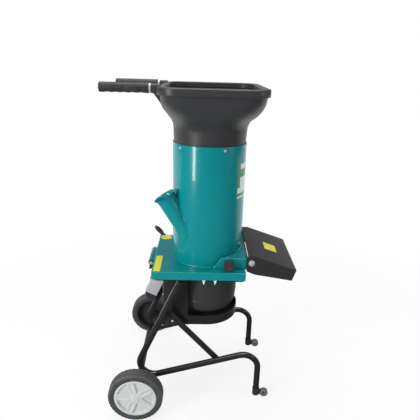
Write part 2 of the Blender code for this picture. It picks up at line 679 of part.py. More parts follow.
def make_motor(body, rotor, look):
    up = (0, 0, 1)
    shield_r = 0.078
    bearing_r = 0.0202
    bore = SHAFT_R + GAP
    levels = {"top": 0.4700, "bottom": 0.3520}
    for name, z in levels.items():
        shield = bush(shield_r, bearing_r + GAP, (0, 0, z), up, 0.0125, 28)
        add(f"end_shield_{name}", shield, look["aluminium"], body)
        bearing = bush(bearing_r, bore, (0, 0, z + 0.001), up, 0.011, 20)
        add(f"bearing_{name}", bearing, look["steel"], body)
    add("stator", bush(STATOR_R, 0.046, (0, 0, 0.372), up, 0.088, 28), look["lamination"], body)
    add("run_capacitor", rod(0.0175, (-0.1345, 0, 0.375), up, 0.080, 16), look["aluminium"], body)
    add("rotor_core", bush(ROTOR_R, bore, (0, 0, 0.378), up, 0.076, 28), look["lamination"], rotor)
    shaft = [(0, 0.330), (SHAFT_R, 0.330), (SHAFT_R, 0.5265), (SPIGOT_R, 0.5265)]
    shaft += [(SPIGOT_R, 0.543), (0, 0.543)]
    add("motor_shaft", turned(shaft, (0, 0, 0), up, 20), look["steel"], rotor)
    fan = add("cooling_fan", bush(0.068, bore, (0, 0, 0.3470), up, 0.002, 24), look["plastic"], rotor)
    join(fan, bush(0.016, bore, (0, 0, 0.3340), up, 0.0140, 16))
    for i in range(8):
        vane = box((0.014, 0.066), (-0.001, 0.001), (0.3360, 0.3480))
        bmesh.ops.rotate(vane, verts=vane.verts, matrix=Matrix.Rotation(math.tau * (i + 0.5) / 8, 3, "Z"))
        join(fan, vane)


def make_cutter(rotor, look):
    up = (0, 0, 1)
    thickness = DISC_TOP - DISC_BOTTOM
    plain = bush(DISC_R, SPIGOT_R + GAP, (0, 0, DISC_BOTTOM), up, thickness, 40)
    disc = add("blade_disc", plain, look["steel"], rotor)
    for i in range(2):
        turn = Matrix.Rotation(math.pi * i, 3, "Z")
        slot = box((0.030, 0.095), (-0.013, -0.004), (DISC_BOTTOM - 0.01, DISC_TOP + 0.01))
        bmesh.ops.rotate(slot, verts=slot.verts, matrix=turn)
        cut(disc, slot)
        section = [(-0.008, DISC_TOP + GAP), (0.018, DISC_TOP + GAP), (0.018, BLADE_TOP), (-0.003, BLADE_TOP)]
        blade = prism(section, "X", 0.026, 0.100)
        bmesh.ops.rotate(blade, verts=blade.verts, matrix=turn)
        add(f"chipper_blade_{i + 1}", blade, look["steel"], rotor)
    nut = bush(0.0125, SPIGOT_R + 0.0018, (0, 0, DISC_TOP + GAP), up, 0.0085, 6)
    add("disc_nut", nut, look["zinc"], rotor)


def make_frame_tubes(body, look):
    for name, side in SIDES.items():
        y = Vector((0, side * FRAME_Y, 0))
        foot = Vector((FRONT_CORNER.x, 0, FOOT_CAP_BOTTOM + 0.0025))
        corners = [point + y for point in (LEG_TOP, REAR_CORNER, FRONT_CORNER, foot)]
        path = bent_path(corners, (REAR_BEND_R, FRONT_BEND_R), 5)
        add(f"frame_tube_{name}", pipe(path, TUBE_R, TUBE_R - TUBE_WALL, 12), look["black"], body)


def make_braces(body, look):
    """A flat bar on the inner side of each frame tube, from the rail up to the leg."""
    run = (BRACE_HIGH - BRACE_LOW).normalized()
    half_width = Vector((-run.z, 0, run.x)) * (BRACE_WIDTH / 2)
    corners = [BRACE_LOW - half_width, BRACE_LOW + half_width]
    corners += [BRACE_HIGH + half_width, BRACE_HIGH - half_width]
    outer = FRAME_Y - TUBE_R - GAP
    for name, side in SIDES.items():
        low_y, high_y = sorted((side * outer, side * (outer - BRACE_SHEET)))
        bar = prism([(p.x, p.z) for p in corners], "Y", low_y, high_y)
        add(f"brace_{name}", bar, look["black"], body)


def make_guard_bolts(body, look):
    """A bolt through each side of the guard near its lower edge, with the nut inside."""
    inner = GUARD_R - SHEET - GAP
    outer = GUARD_R + GAP
    profile = [(0, inner - 0.0045), (0.0065, inner - 0.0045), (0.0065, inner), (GUARD_BOLT_R, inner)]
    profile += [(GUARD_BOLT_R, outer), (0.0095, outer), (0.0095, outer + 0.0016), (0.0068, outer + 0.0016)]
    profile += [(0.0068, outer + 0.0052), (0.0045, outer + 0.0068), (0, outer + 0.0072)]
    for name, side in SIDES.items():
        bolt = turned(profile, (GUARD_BOLT_X, 0, GUARD_BOLT_Z), (0, side, 0), 12)
        add(f"guard_bolt_{name}", bolt, look["black"], body)


def make_feet(body, look):
    """A moulded cup on each tube's end, with a thick eye in front that stands on the floor."""
    for name, side in SIDES.items():
        y = side * FRAME_Y
        x = FRONT_CORNER.x
        low = FOOT_CAP_BOTTOM
        bore = TUBE_R + GAP
        cup = [(0, low), (FOOT_CAP_R, low), (FOOT_CAP_R + 0.0004, 0.034), (bore + 0.0004, 0.036)]
        cup += [(bore, 0.034), (bore, low + 0.002), (0, low + 0.002)]
        foot = add(f"foot_{name}", turned(cup, (x, y, 0), (0, 0, 1), 14), look["rubber"], body)
        eye_z = FOOT_EYE_R - 0.0002
        join(foot, box((x + 0.0117, FOOT_EYE_X - 0.008), (y - 0.006, y + 0.006), (0.0085, 0.0255)))
        join(foot, rod(FOOT_EYE_R, (FOOT_EYE_X, y - 0.008, eye_z), (0, 1, 0), 0.016, 20))
        cut(foot, rod(0.006, (FOOT_EYE_X, y - 0.02, eye_z), (0, 1, 0), 0.04, 12))
        cut(foot, box((0.18, 0.26), (y - 0.03, y + 0.03), (-0.01, 0.0)))


def make_switch_box(body, look):
    """A hollow box behind the left leg, open towards the leg, with a power inlet at its lower end."""
    near = TUBE_R + 0.002
    corners = [by_leg(BOX_TOP, near, 0), by_leg(BOX_TOP, BOX_OUT, 0)]
    corners += [by_leg(BOX_BOTTOM, BOX_OUT, 0), by_leg(BOX_BOTTOM + 0.017, BOX_OUT - 0.034, 0)]
    corners.append(by_leg(BOX_BOTTOM + 0.017, near, 0))
    case = add("switch_box", prism([(p.x, p.z) for p in corners], "Y", *BOX_Y), look["grey"], body)
    wall = 0.0025
    inner = [by_leg(BOX_TOP + wall, near - 0.01, 0), by_leg(BOX_TOP + wall, BOX_OUT - wall, 0)]
    inner += [by_leg(BOX_BOTTOM - 0.002, BOX_OUT - wall, 0), by_leg(BOX_BOTTOM + 0.0145, BOX_OUT - 0.0355, 0)]
    inner.append(by_leg(BOX_BOTTOM + 0.0145, near - 0.01, 0))
    cut(case, prism([(p.x, p.z) for p in inner], "Y", BOX_Y[0] + wall, BOX_Y[1] - wall))
    y = sum(BOX_Y) / 2
    for along in (START_ALONG, STOP_ALONG):
        cut(case, rod(BUTTON_R + 0.0006, by_leg(along, BOX_OUT - 0.01, y), LEG_OUT, 0.02, 20))
    inlet_top = by_leg(BOX_BOTTOM - 0.010, 0.038, y)
    cut(case, rod(0.0155, inlet_top, -LEG_UP, 0.04, 24))
    profile = [(0.0150, 0), (0.0150, 0.033), (0.0125, 0.033), (0.0125, 0.008), (0, 0.008)]
    inlet = add("power_inlet", turned([(0, 0)] + profile, inlet_top, -LEG_UP, 24), look["plastic"], body)
    for offset in (-0.005, 0.005):
        start = inlet_top - LEG_UP * 0.0075 + Vector((0, offset, 0))
        join(inlet, rod(0.0018, start, -LEG_UP, 0.018, 8))


def make_button(name, along, material, body):
    """A button that goes through the box's rear face, with a flange behind the face."""
    inside = BOX_OUT - 0.0065
    wall_inside = BOX_OUT - 0.0025 - GAP
    profile = [(0, inside - 0.003), (BUTTON_R + 0.002, inside - 0.003), (BUTTON_R + 0.002, wall_inside)]
    profile += [(BUTTON_R, wall_inside), (BUTTON_R, BOX_OUT + 0.0050), (BUTTON_R - 0.0015, BOX_OUT + 0.0062)]
    profile.append((0, BOX_OUT + 0.0066))
    add(name, turned(profile, by_leg(along, 0, sum(BOX_Y) / 2), LEG_OUT, 20), material, body)


# ---- Wheels ----


def make_axle(body, look):
    half = 0.2730
    end = [(0, half), (AXLE_R - 0.001, half), (AXLE_R, half - 0.001)]
    profile = [(radius, -distance) for radius, distance in end] + end[::-1]
    add("wheel_axle", turned(profile, (AXLE_X, 0, AXLE_Z), (0, 1, 0), 16), look["black"], body)


def make_wheel(name, side, body, look):
    """A tyre with shoulders, on a wheel with a thin web, five spokes in front of it and a closed hub."""
    centre = Vector((AXLE_X, 0, AXLE_Z))
    outwards = (0, side, 0)
    low = WHEEL_R + GAP
    wide = TYRE_OUT - TYRE_IN
    shoulder = 0.006
    tread = [(low, 0), (TYRE_R - shoulder, 0), (TYRE_R, shoulder)]
    tread += [(TYRE_R, wide - shoulder), (TYRE_R - shoulder, wide), (low, wide)]
    place = centre + Vector((0, side * TYRE_IN, 0))
    add(f"tyre_{name}", turned(tread, place, outwards, 36), look["tyre"], body)
    web_front = wide - 0.0125
    web_back = wide - 0.0155
    web_in = 0.0125
    rim = [(WHEEL_R, 0.002), (WHEEL_R, wide - 0.002), (WHEEL_R - 0.009, wide - 0.002)]
    rim += [(WHEEL_R - 0.009, web_front), (web_in, web_front), (web_in, web_back)]
    rim += [(WHEEL_R - 0.005, web_back), (WHEEL_R - 0.005, 0.002)]
    wheel = add(f"wheel_{name}", turned(rim, place, outwards, 36), look["hub"], body)
    bore = AXLE_R + GAP
    hub = [(0, 0.0385), (bore, 0.0385), (bore, 0.0005), (0.0155, 0.0005)]
    hub += [(0.0155, wide - 0.004), (0.012, wide - 0.001), (0, wide - 0.001)]
    join(wheel, turned(hub, place, outwards, 16))
    for i in range(SPOKES):
        spoke = box((0.0130, WHEEL_R - 0.006), (wide - 0.013, wide - 0.003), (-0.0105, 0.0105))
        turn = Matrix.Rotation(math.radians(90 + 360 * i / SPOKES), 3, "Y")
        bmesh.ops.rotate(spoke, verts=spoke.verts, matrix=turn)
        if side < 0:
            bmesh.ops.scale(spoke, verts=spoke.verts, vec=(1, -1, 1))
        bmesh.ops.translate(spoke, verts=spoke.verts, vec=place)
        join(wheel, spoke)


def build():
    clear_scene()
    look = make_finishes()
    machine = pivot("chassis", (0, 0, 0))
    housing = pivot("housing", (HINGE_X, 0, HINGE_Z), machine)
    hood = pivot("discharge_hood_pivot", (PIVOT_X, 0, PIVOT_Z), housing)
    knob = pivot("lock_knob_pivot", (KNOB_X, -CHANNEL_HALF_Y, KNOB_Z), housing)
    lever = pivot("catch_lever_pivot", (LEVER_X, LEVER_Y[0], LEVER_Z), housing)
    rotor = pivot("rotor", (0, 0, DISC_BOTTOM), machine)
    for maker in (
        make_drum, make_branch_tube, make_deck, make_channel, make_hopper, make_handles,
        make_neck_screws, make_hinge_barrel, make_counter_blade, make_lip_clips, make_pivot_bolts,
    ):
        maker(housing, look)
    make_hood(hood, look)
    make_knob(knob, look)
    make_lever(lever, housing, look)
    for maker in (
        make_base_plate, make_hinge_pin, make_buffers, make_guard, make_guard_bolts, make_motor_cover,
        make_frame_tubes, make_braces, make_feet, make_switch_box, make_axle,
    ):
        maker(machine, look)
    make_motor(machine, rotor, look)
    make_cutter(rotor, look)
    y = sum(BOX_Y) / 2
    for name, along, colour in (("start_button", START_ALONG, "green"), ("stop_button", STOP_ALONG, "red")):
        button = pivot(f"{name}_pivot", by_leg(along, BOX_OUT, y), machine)
        make_button(name, along, look[colour], button)
    for name, side in SIDES.items():
        wheel = pivot(f"wheel_{name}_pivot", (AXLE_X, side * TYRE_IN, AXLE_Z), machine)
        make_wheel(name, side, wheel, look)


build()
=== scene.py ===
"""Looks of an electric garden shredder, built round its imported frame.

Everything is in metres, with +X to the front, where the chips leave, +Y to the left and +Z up.
A smooth piece takes the place of each faceted CAD node that shows, and every node gets a finish.
"""

import math

import bmesh
import bpy
import numpy as np
from mathutils import Matrix, Vector


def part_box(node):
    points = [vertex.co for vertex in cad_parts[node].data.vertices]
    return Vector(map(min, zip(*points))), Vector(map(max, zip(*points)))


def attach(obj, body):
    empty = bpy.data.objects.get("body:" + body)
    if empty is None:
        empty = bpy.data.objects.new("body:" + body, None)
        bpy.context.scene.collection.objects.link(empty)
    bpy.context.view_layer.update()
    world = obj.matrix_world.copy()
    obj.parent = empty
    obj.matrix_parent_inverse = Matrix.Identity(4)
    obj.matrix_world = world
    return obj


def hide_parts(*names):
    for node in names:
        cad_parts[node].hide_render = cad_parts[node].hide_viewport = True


bl_info = {
    "name": "Garden Shredder Looks",
    "version": (1, 0, 0),
    "blender": (4, 5, 0),
    "location": "3D View > Sidebar > Shredder",
    "description": "Smooth pieces and finishes round the packed frame of an electric garden shredder",
    "category": "Object",
}

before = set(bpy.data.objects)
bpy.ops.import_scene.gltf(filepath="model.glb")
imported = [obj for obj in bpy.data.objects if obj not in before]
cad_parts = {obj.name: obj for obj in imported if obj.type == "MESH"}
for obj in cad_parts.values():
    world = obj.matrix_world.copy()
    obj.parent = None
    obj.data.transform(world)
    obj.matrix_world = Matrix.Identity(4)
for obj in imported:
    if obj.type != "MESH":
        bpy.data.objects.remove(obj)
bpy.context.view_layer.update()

TURN = 2 * np.pi
UP = np.array((0.0, 0.0, 1.0))
LEFT = np.array((0.0, 1.0, 0.0))
FRONT = np.array((1.0, 0.0, 0.0))
SIDES = {"right": -1, "left": 1}
SHARP = 32  # degrees past which an edge is shaded sharp
BEVEL_FROM = 38  # degrees past which an edge is eased
SHEET = 0.0015  # wall of the drum, the channel, the hood and the guard
GAP = 0.0003  # air between pieces that would otherwise share a face
BOLT_SHANK = 0.004
BOLT_BORE = 0.0043
BRANCH_SLOPE = math.radians(58)
BRANCH_FLARE = 0.008  # how much wider the branch tube's mouth is than its neck
BRANCH_BELL = 0.024  # how far down the branch tube the flare reaches
HOOD_RIDGE = 0.146  # from the hood's front to the top of its slope
HOOD_LIP_Z = 0.519
WINDOW_REAR = -0.065  # rear end of the opening in the guard, from the drum's axis
WINDOW_SILL = 0.320
PANEL_ANGLE = math.radians(41)
PANEL_HEIGHTS = (0.753, 0.870)
TYRE_INNER = 0.235
SPOKES = 5
SPOKE_TURN = math.radians(15)
POCKET_START = 0.0240
LEG_SLOPE = (0.411821, 0.0, 0.911265)  # up along the frame's legs
LEG_OUT = (-0.911265, 0.0, 0.411821)  # rearwards, square to the legs

# Slot and finish of the materials that several pieces share.
TEAL = ("teal_paint", "teal enamel")
ENAMEL = ("black_paint", "black enamel")
MOULDING = ("black_plastic", "black moulding")
RUBBER = ("soft_rubber", "soft rubber")
ZINC = ("zinc_plate", "zinc plate")
STEEL = ("tool_steel", "ground steel")
CAST = ("cast_aluminium", "cast aluminium")
LAMINATED = ("motor_steel", "laminated steel")
CLIP = ("grey_plastic", "white moulding")


def box(node):
    """The lowest and highest corner of a CAD node, as arrays."""
    low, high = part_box(node)
    return np.array(low), np.array(high)


def middle(node):
    """The middle of a CAD node's box."""
    low, high = box(node)
    return (low + high) / 2


DRUM_LOW, DRUM_HIGH = box("drum")
DRUM_R = (DRUM_HIGH[1] - DRUM_LOW[1]) / 2
DRUM_X = DRUM_HIGH[0] - DRUM_R
AXIS = np.array((DRUM_X, 0.0, 0.0))


# ---- Surfaces ----


def grid_faces(rows, columns, wrap_rows, wrap_columns):
    """Quads (i, j), (i, j+1), (i+1, j+1), (i+1, j) over a grid, counted round where it wraps."""
    row = np.arange(rows if wrap_rows else rows - 1)[:, None]
    column = np.arange(columns if wrap_columns else columns - 1)[None, :]
    here = row * columns
    below = (row + 1) % rows * columns
    beside = (column + 1) % columns
    corners = (here + column, here + beside, below + beside, below + column)
    return np.stack(np.broadcast_arrays(*corners), axis=-1).reshape(-1, 4)


def piece(name, points, faces, sharp=SHARP, closed=True):
    """An object from points and faces, with doubles merged and a closed surface's faces turned outwards."""
    mesh = bpy.data.meshes.new(name)
    mesh.from_pydata(np.asarray(points).reshape(-1, 3).tolist(), [], [list(face) for face in faces])
    shape = bmesh.new()
    shape.from_mesh(mesh)
    bmesh.ops.remove_doubles(shape, verts=shape.verts, dist=2e-6)
    if closed:
        bmesh.ops.recalc_face_normals(shape, faces=shape.faces)
    shape.to_mesh(mesh)
    shape.free()
    obj = bpy.data.objects.new(name, mesh)
    bpy.context.scene.collection.objects.link(obj)
    soften(obj, sharp)
    return obj


def soften(obj, sharp):
    """Smooth shading, except across edges that turn by more than the given degrees."""
    obj.data.shade_smooth()
    obj.data.set_sharp_from_angle(angle=math.radians(sharp))


def skin(name, points, wrap_rows=False, wrap_columns=True, sharp=SHARP, closed=True):
    """A surface over a grid of points, with rows first."""
    rows, columns = points.shape[:2]
    return piece(name, points, grid_faces(rows, columns, wrap_rows, wrap_columns), sharp, closed)


def unit(vector):
    """A vector, or each row of an array, divided by its length."""
    vector = np.asarray(vector, float)
    return vector / np.linalg.norm(vector, axis=-1, keepdims=True)


def across(along):
    """Two directions square to an axis, the first as near to up as it goes, or to the front for an
    upright axis."""
    along = unit(along)
    start = FRONT if abs(along[2]) > 0.9 else UP
    first = unit(start - along * (start @ along))
    return first, np.cross(along, first)


def eased(corners, reach, steps=4, closed=True):
    """A polyline whose corner P becomes (1-t)^2 A + 2t(1-t) P + t^2 B, where A and B lie at the reach
    along its two sides."""
    corners = np.asarray(corners, float)
    before = np.roll(corners, 1, axis=0)
    after = np.roll(corners, -1, axis=0)
    if not closed:
        before[0] = corners[0]
        after[-1] = corners[-1]
    reach = np.broadcast_to(np.asarray(reach, float), len(corners))[:, None]

    def towards(other):
        run = other - corners
        length = np.linalg.norm(run, axis=1, keepdims=True)
        return corners + run / np.maximum(length, 1e-9) * np.minimum(reach, 0.45 * length)

    t = np.linspace(0, 1, steps)[None, :, None]
    curve = (1 - t) ** 2 * towards(before)[:, None] + 2 * t * (1 - t) * corners[:, None]
    return (curve + t**2 * towards(after)[:, None]).reshape(-1, corners.shape[1])


def turned(name, profile, start, along, steps=64, shape=None, sharp=SHARP):
    """A profile of (radius r, distance d) turned round an axis.

    P = start + d*axis + r*(cos a * e1 + sin a * e2), with e1 and e2 the directions square to the axis.
    It closes on the axis where it starts there, and into a ring otherwise. shape may change r and d by
    angle. steps is a count, or an array of angles with a row for each point of the profile.
    """
    profile = np.asarray(profile, float)
    first, second = across(along)
    angle = np.linspace(0, TURN, steps, endpoint=False)[None, :] if np.isscalar(steps) else steps
    radius = profile[:, :1] + 0 * angle
    distance = profile[:, 1:] + 0 * angle
    if shape:
        radius, distance = shape(radius, distance, angle)
    spoke = np.cos(angle)[..., None] * first + np.sin(angle)[..., None] * second
    points = np.asarray(start, float) + distance[..., None] * unit(along) + radius[..., None] * spoke
    return skin(name, points, wrap_rows=profile[0, 0] > 0, sharp=sharp)


def carried(name, path, section, side, closed=False, scale=None, sharp=SHARP):
    """A section (s, t) carried along a path: P = path + s*side + t*(tangent x side). Its ends are capped."""
    path = np.asarray(path, float)
    tangent = np.roll(path, -1, axis=0) - np.roll(path, 1, axis=0) if closed else np.gradient(path, axis=0)
    side = np.broadcast_to(np.asarray(side, float), path.shape)
    out = unit(np.cross(tangent, side))
    size = np.ones(len(path)) if scale is None else np.asarray(scale)
    spread = section[None, :, :1] * side[:, None] + section[None, :, 1:] * out[:, None]
    points = path[:, None] + size[:, None, None] * spread
    if not closed:
        ends = [np.repeat(path[i][None, None], len(section), axis=1) for i in (0, -1)]
        points = np.concatenate([ends[0], points, ends[1]])
    return skin(name, points, wrap_rows=closed, sharp=sharp)


def oblong(first, second):
    """The corners of a rectangle between two (low, high) pairs."""
    (left, right), (low, high) = first, second
    return [(left, low), (right, low), (right, high), (left, high)]


def circle(radius, steps):
    """Points (r cos a, r sin a)."""
    angle = np.linspace(0, TURN, steps, endpoint=False)
    return radius * np.stack([np.cos(angle), np.sin(angle)], axis=-1)


def bent(corners, radii, steps):
    """A path of straight runs whose inner corners are arcs: M + r (sin((1-t)w) a + sin(tw) b) / sin w."""
    corners = np.asarray(corners, float)
    path = [corners[:1]]
    for before, corner, after, radius in zip(corners, corners[1:], corners[2:], radii):
        back = unit(before - corner)
        ahead = unit(after - corner)
        half = math.acos(back @ ahead) / 2
        centre = corner + unit(back + ahead) * radius / math.sin(half)
        start = unit(corner + back * radius / math.tan(half) - centre)
        end = unit(corner + ahead * radius / math.tan(half) - centre)
        opening = math.acos(start @ end)
        t = np.linspace(0, 1, steps)[:, None]
        arc = (np.sin((1 - t) * opening) * start + np.sin(t * opening) * end) / math.sin(opening)
        path.append(centre + radius * arc)
    return np.concatenate(path + [corners[-1:]])


def plate(name, outline, axis, low, high, ease=0.0, steps=2):
    """An outline of pairs carried from low to high along an axis, with flat ends and eased edges.

    The pairs are (y, z) for X, (x, z) for Y and (x, y) for Z.
    """
    outline = np.asarray(outline, float)
    count = len(outline)
    order = {"X": (2, 0, 1), "Y": (0, 2, 1), "Z": (0, 1, 2)}[axis]
    ends = [np.column_stack([outline, np.full(count, level)])[:, order] for level in (low, high)]
    faces = grid_faces(2, count, False, True).tolist() + [range(count), range(count, 2 * count)]
    obj = piece(name, np.concatenate(ends), faces, sharp=180 if ease else SHARP)
    return bevelled(obj, ease, steps) if ease else obj


def bevelled(obj, width, steps=2):
    """Rounds the edges that turn by more than BEVEL_FROM."""
    edges = obj.modifiers.new("eased edges", "BEVEL")
    edges.width = width
    edges.segments = steps
    edges.limit_method = "ANGLE"
    edges.angle_limit = math.radians(BEVEL_FROM)
    edges.harden_normals = True
    return obj


def thick(obj, wall):
    """Gives an open surface a wall on its inner side."""
    solid = obj.modifiers.new("wall", "SOLIDIFY")
    solid.thickness = wall
    solid.offset = -1


def rounded(x, y, radius, corner, side):
    """A rectangle between (low, high) pairs with arc corners, whose points pair up with another size's."""
    centre_x = np.array((x[1] - radius, x[0] + radius, x[0] + radius, x[1] - radius))
    centre_y = np.array((y[1] - radius, y[1] - radius, y[0] + radius, y[0] + radius))
    angle = np.arange(4)[:, None] * np.pi / 2 + np.linspace(0, np.pi / 2, corner)
    arc_x = centre_x[:, None] + radius * np.cos(angle)
    arc_y = centre_y[:, None] + radius * np.sin(angle)
    arcs = np.stack([arc_x, arc_y], axis=-1)
    start = arcs[:, -1:]
    end = np.roll(arcs[:, :1], -1, axis=0)
    t = np.linspace(0, 1, side + 2)[None, 1:-1, None]
    return np.concatenate([arcs, start + t * (end - start)], axis=1).reshape(-1, 2)


def through(knots, values, at):
    """A cubic through knots with harmonic-mean slopes, so that it never overshoots them."""
    knots = np.asarray(knots, float)
    values = np.asarray(values, float)
    step = np.diff(knots)[:, None]
    secant = np.diff(values, axis=0) / step
    product = secant[1:] * secant[:-1]
    mean = 2 * product / np.where(product > 0, secant[1:] + secant[:-1], 1)
    slope = np.concatenate([secant[:1], np.where(product > 0, mean, 0), secant[-1:]])
    i = np.clip(np.searchsorted(knots, at, side="right") - 1, 0, len(knots) - 2)
    t = ((at - knots[i]) / np.diff(knots)[i])[:, None]
    h = step[i]
    start = (1 + 2 * t) * (1 - t) ** 2 * values[i] + t * (1 - t) ** 2 * h * slope[i]
    return start + t**2 * (3 - 2 * t) * values[i + 1] + t**2 * (t - 1) * h * slope[i + 1]


def step_up(value, low, high):
    """0 below low, 1 above high, and 3t^2 - 2t^3 between."""
    t = np.clip((value - low) / (high - low), 0, 1)
    return t * t * (3 - 2 * t)


def applied(obj):
    """Makes a piece's modifiers part of its mesh."""
    graph = bpy.context.evaluated_depsgraph_get()
    mesh = bpy.data.meshes.new_from_object(obj.evaluated_get(graph))
    obj.modifiers.clear()
    obj.data = mesh
    return obj


def carve(obj, cutter):
    """Takes the cutter out of a piece for good."""
    hole = obj.modifiers.new("hole", "BOOLEAN")
    hole.operation = "DIFFERENCE"
    hole.solver = "EXACT"
    hole.object = cutter
    applied(obj)
    bpy.data.objects.remove(cutter, do_unlink=True)
    soften(obj, SHARP)


def settle(obj, body, slot, finish, *nodes):
    """Gives a piece its body and finish, and hides the CAD nodes that it stands for. The slot is not used."""
    obj.data.materials.clear()
    obj.data.materials.append(bpy.data.materials[finish])
    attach(obj, body)
    if nodes:
        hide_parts(*nodes)


def refined(node, body, slot, finish, ease):
    """A copy of a CAD node with its triangles merged, flat faces joined and edges eased."""
    shape = bmesh.new()
    shape.from_mesh(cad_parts[node].data)
    bmesh.ops.remove_doubles(shape, verts=shape.verts, dist=1e-5)
    bmesh.ops.dissolve_limit(shape, angle_limit=math.radians(1), verts=shape.verts, edges=shape.edges)
    mesh = bpy.data.meshes.new(f"{node}_skin")
    shape.to_mesh(mesh)
    shape.free()
    obj = bpy.data.objects.new(f"{node}_skin", mesh)
    bpy.context.scene.collection.objects.link(obj)
    if ease:
        mesh.shade_smooth()
        bevelled(obj, ease)
    else:
        soften(obj, BEVEL_FROM)
    settle(obj, body, slot, finish, node)


# ---- Finishes ----


def tone(red, green, blue):
    """A colour given in screen values from 0 to 255, as linear light."""
    share = np.array((red, green, blue)) / 255
    return tuple(np.where(share <= 0.04045, share / 12.92, ((share + 0.055) / 1.055) ** 2.4).tolist())


def darker(colour, share):
    """A colour with each channel times the share, which may be over 1."""
    return tuple(channel * share for channel in tuple(colour)[:3])


class Value:
    """A number that changes over a surface: one shader socket, with arithmetic."""

    def __init__(self, finish, socket):
        self.finish = finish
        self.socket = socket

    def math(self, operation, first, second=0.0):
        return self.finish.math(operation, first, second)

    def __add__(self, other):
        return self.math("ADD", self, other)

    def __sub__(self, other):
        return self.math("SUBTRACT", self, other)

    def __rsub__(self, other):
        return self.math("SUBTRACT", other, self)

    def __mul__(self, other):
        return self.math("MULTIPLY", self, other)

    def __truediv__(self, other):
        return self.math("DIVIDE", self, other)

    def __pow__(self, other):
        return self.math("POWER", self, other)

    __radd__ = __add__
    __rmul__ = __mul__

    def absolute(self):
        return self.math("ABSOLUTE", self)

    def sine(self):
        return self.math("SINE", self)

    def ramp(self, low, high):
        """0 below low, 1 above high, smooth between. Low may be the larger."""
        inputs = {0: self, 1: low, 2: high, 3: 0.0, 4: 1.0}
        return self.finish.node("ShaderNodeMapRange", {"interpolation_type": "SMOOTHSTEP"}, inputs)


class Nodes:
    """A node tree that is written as expressions."""

    def __init__(self, tree):
        self.tree = tree

    def node(self, kind, settings=None, inputs=None, output=0):
        """Any node: its settings first, then the values or links of its sockets."""
        made = self.tree.nodes.new(kind)
        for key, setting in (settings or {}).items():
            setattr(made, key, setting)
        for key, entry in (inputs or {}).items():
            self.feed(made.inputs[key], entry)
        return Value(self, made.outputs[output])

    def feed(self, socket, entry):
        """Links a value to a socket, or sets the socket to a constant."""
        if isinstance(entry, Value):
            self.tree.links.new(entry.socket, socket)
        else:
            socket.default_value = entry

    def math(self, operation, first, second=0.0):
        return self.node("ShaderNodeMath", {"operation": operation}, {0: first, 1: second})

    def mix(self, share, first, second):
        """A colour between two others."""
        pair = [c if isinstance(c, Value) else (*tuple(c)[:3], 1.0) for c in (first, second)]
        return self.node("ShaderNodeMix", {"data_type": "RGBA"}, {0: share, 6: pair[0], 7: pair[1]}, 2)

    def light_path(self, *rays):
        """1 for a ray of any of these kinds."""
        kinds = [self.node("ShaderNodeLightPath", output=f"Is {ray} Ray") for ray in rays]
        found = kinds[0]
        for kind in kinds[1:]:
            found = self.math("MAXIMUM", found, kind)
        return found


class Finish(Nodes):
    """A material on object coordinates, in metres."""

    def __init__(self, name, **constants):
        material = bpy.data.materials.new(name)
        material.use_nodes = True
        super().__init__(material.node_tree)
        self.shader = self.tree.nodes["Principled BSDF"]
        for socket, number in constants.items():
            self.shader.inputs[socket.replace("_", " ")].default_value = number
        self.where = self.node("ShaderNodeTexCoord", output="Object")

    def stretched(self, scale):
        """Object coordinates times a scale on each axis."""
        return self.node("ShaderNodeMapping", None, {"Vector": self.where, "Scale": scale})

    def noise(self, scale, detail=2.0, rough=0.5, where=None):
        """Smooth noise from 0 to 1, with a scale in waves for each metre."""
        inputs = {"Vector": where or self.where, "Scale": scale, "Detail": detail, "Roughness": rough}
        return self.node("ShaderNodeTexNoise", None, inputs)

    def cells(self, scale, output="Distance"):
        """Cells round scattered points, as a distance to the nearest point or as a colour for each cell."""
        return self.node("ShaderNodeTexVoronoi", None, {"Vector": self.where, "Scale": scale}, output)

    def part(self, axis):
        """One coordinate, where axis is 0 for X, 1 for Y and 2 for Z."""
        return self.node("ShaderNodeSeparateXYZ", None, {0: self.where}, axis)

    def bump(self, height, strength, distance, normal=None):
        """A normal that follows a height, on top of another normal if one is given."""
        inputs = {"Strength": strength, "Distance": distance, "Height": height}
        if normal:
            inputs["Normal"] = normal
        return self.node("ShaderNodeBump", None, inputs, "Normal")

    def done(self, colour, roughness, normal, metallic=None):
        """Feeds the shader."""
        self.feed(self.shader.inputs["Base Color"], colour)
        self.feed(self.shader.inputs["Roughness"], roughness)
        self.feed(self.shader.inputs["Normal"], normal)
        if metallic is not None:
            self.feed(self.shader.inputs["Metallic"], metallic)


def sprayed_paint(name, colour, roughness, coat, peel, chips):
    """Sprayed enamel: a slow drift of colour, orange peel, dust, hairline scuffs and a few pale chips."""
    finish = Finish(name, Coat_Weight=coat, Coat_Roughness=0.05, Specular_IOR_Level=0.25)
    drift = finish.noise(7, 3)
    dust = finish.noise(900, 2).ramp(0.66, 0.74)
    scuffs = finish.noise(60, 6, 0.65, finish.stretched((1, 1, 9))).ramp(0.66, 0.72)
    worn = scuffs * finish.noise(14, 3).ramp(0.52, 0.66)
    pits = finish.noise(420, 3).ramp(0.72, 0.76) * chips
    base = finish.mix(drift, darker(colour, 0.93), darker(colour, 1.07))
    base = finish.mix(dust * 0.05 + worn * 0.08, base, (0.6, 0.6, 0.6))
    base = finish.mix(pits, base, (0.35, 0.34, 0.33))
    peeled = finish.bump(finish.noise(peel, 2), 0.05, 0.0006)
    normal = finish.bump(worn, 0.06, 0.0002, peeled)
    finish.done(base, finish.noise(35, 4) * 0.08 + worn * 0.2 + roughness, normal)


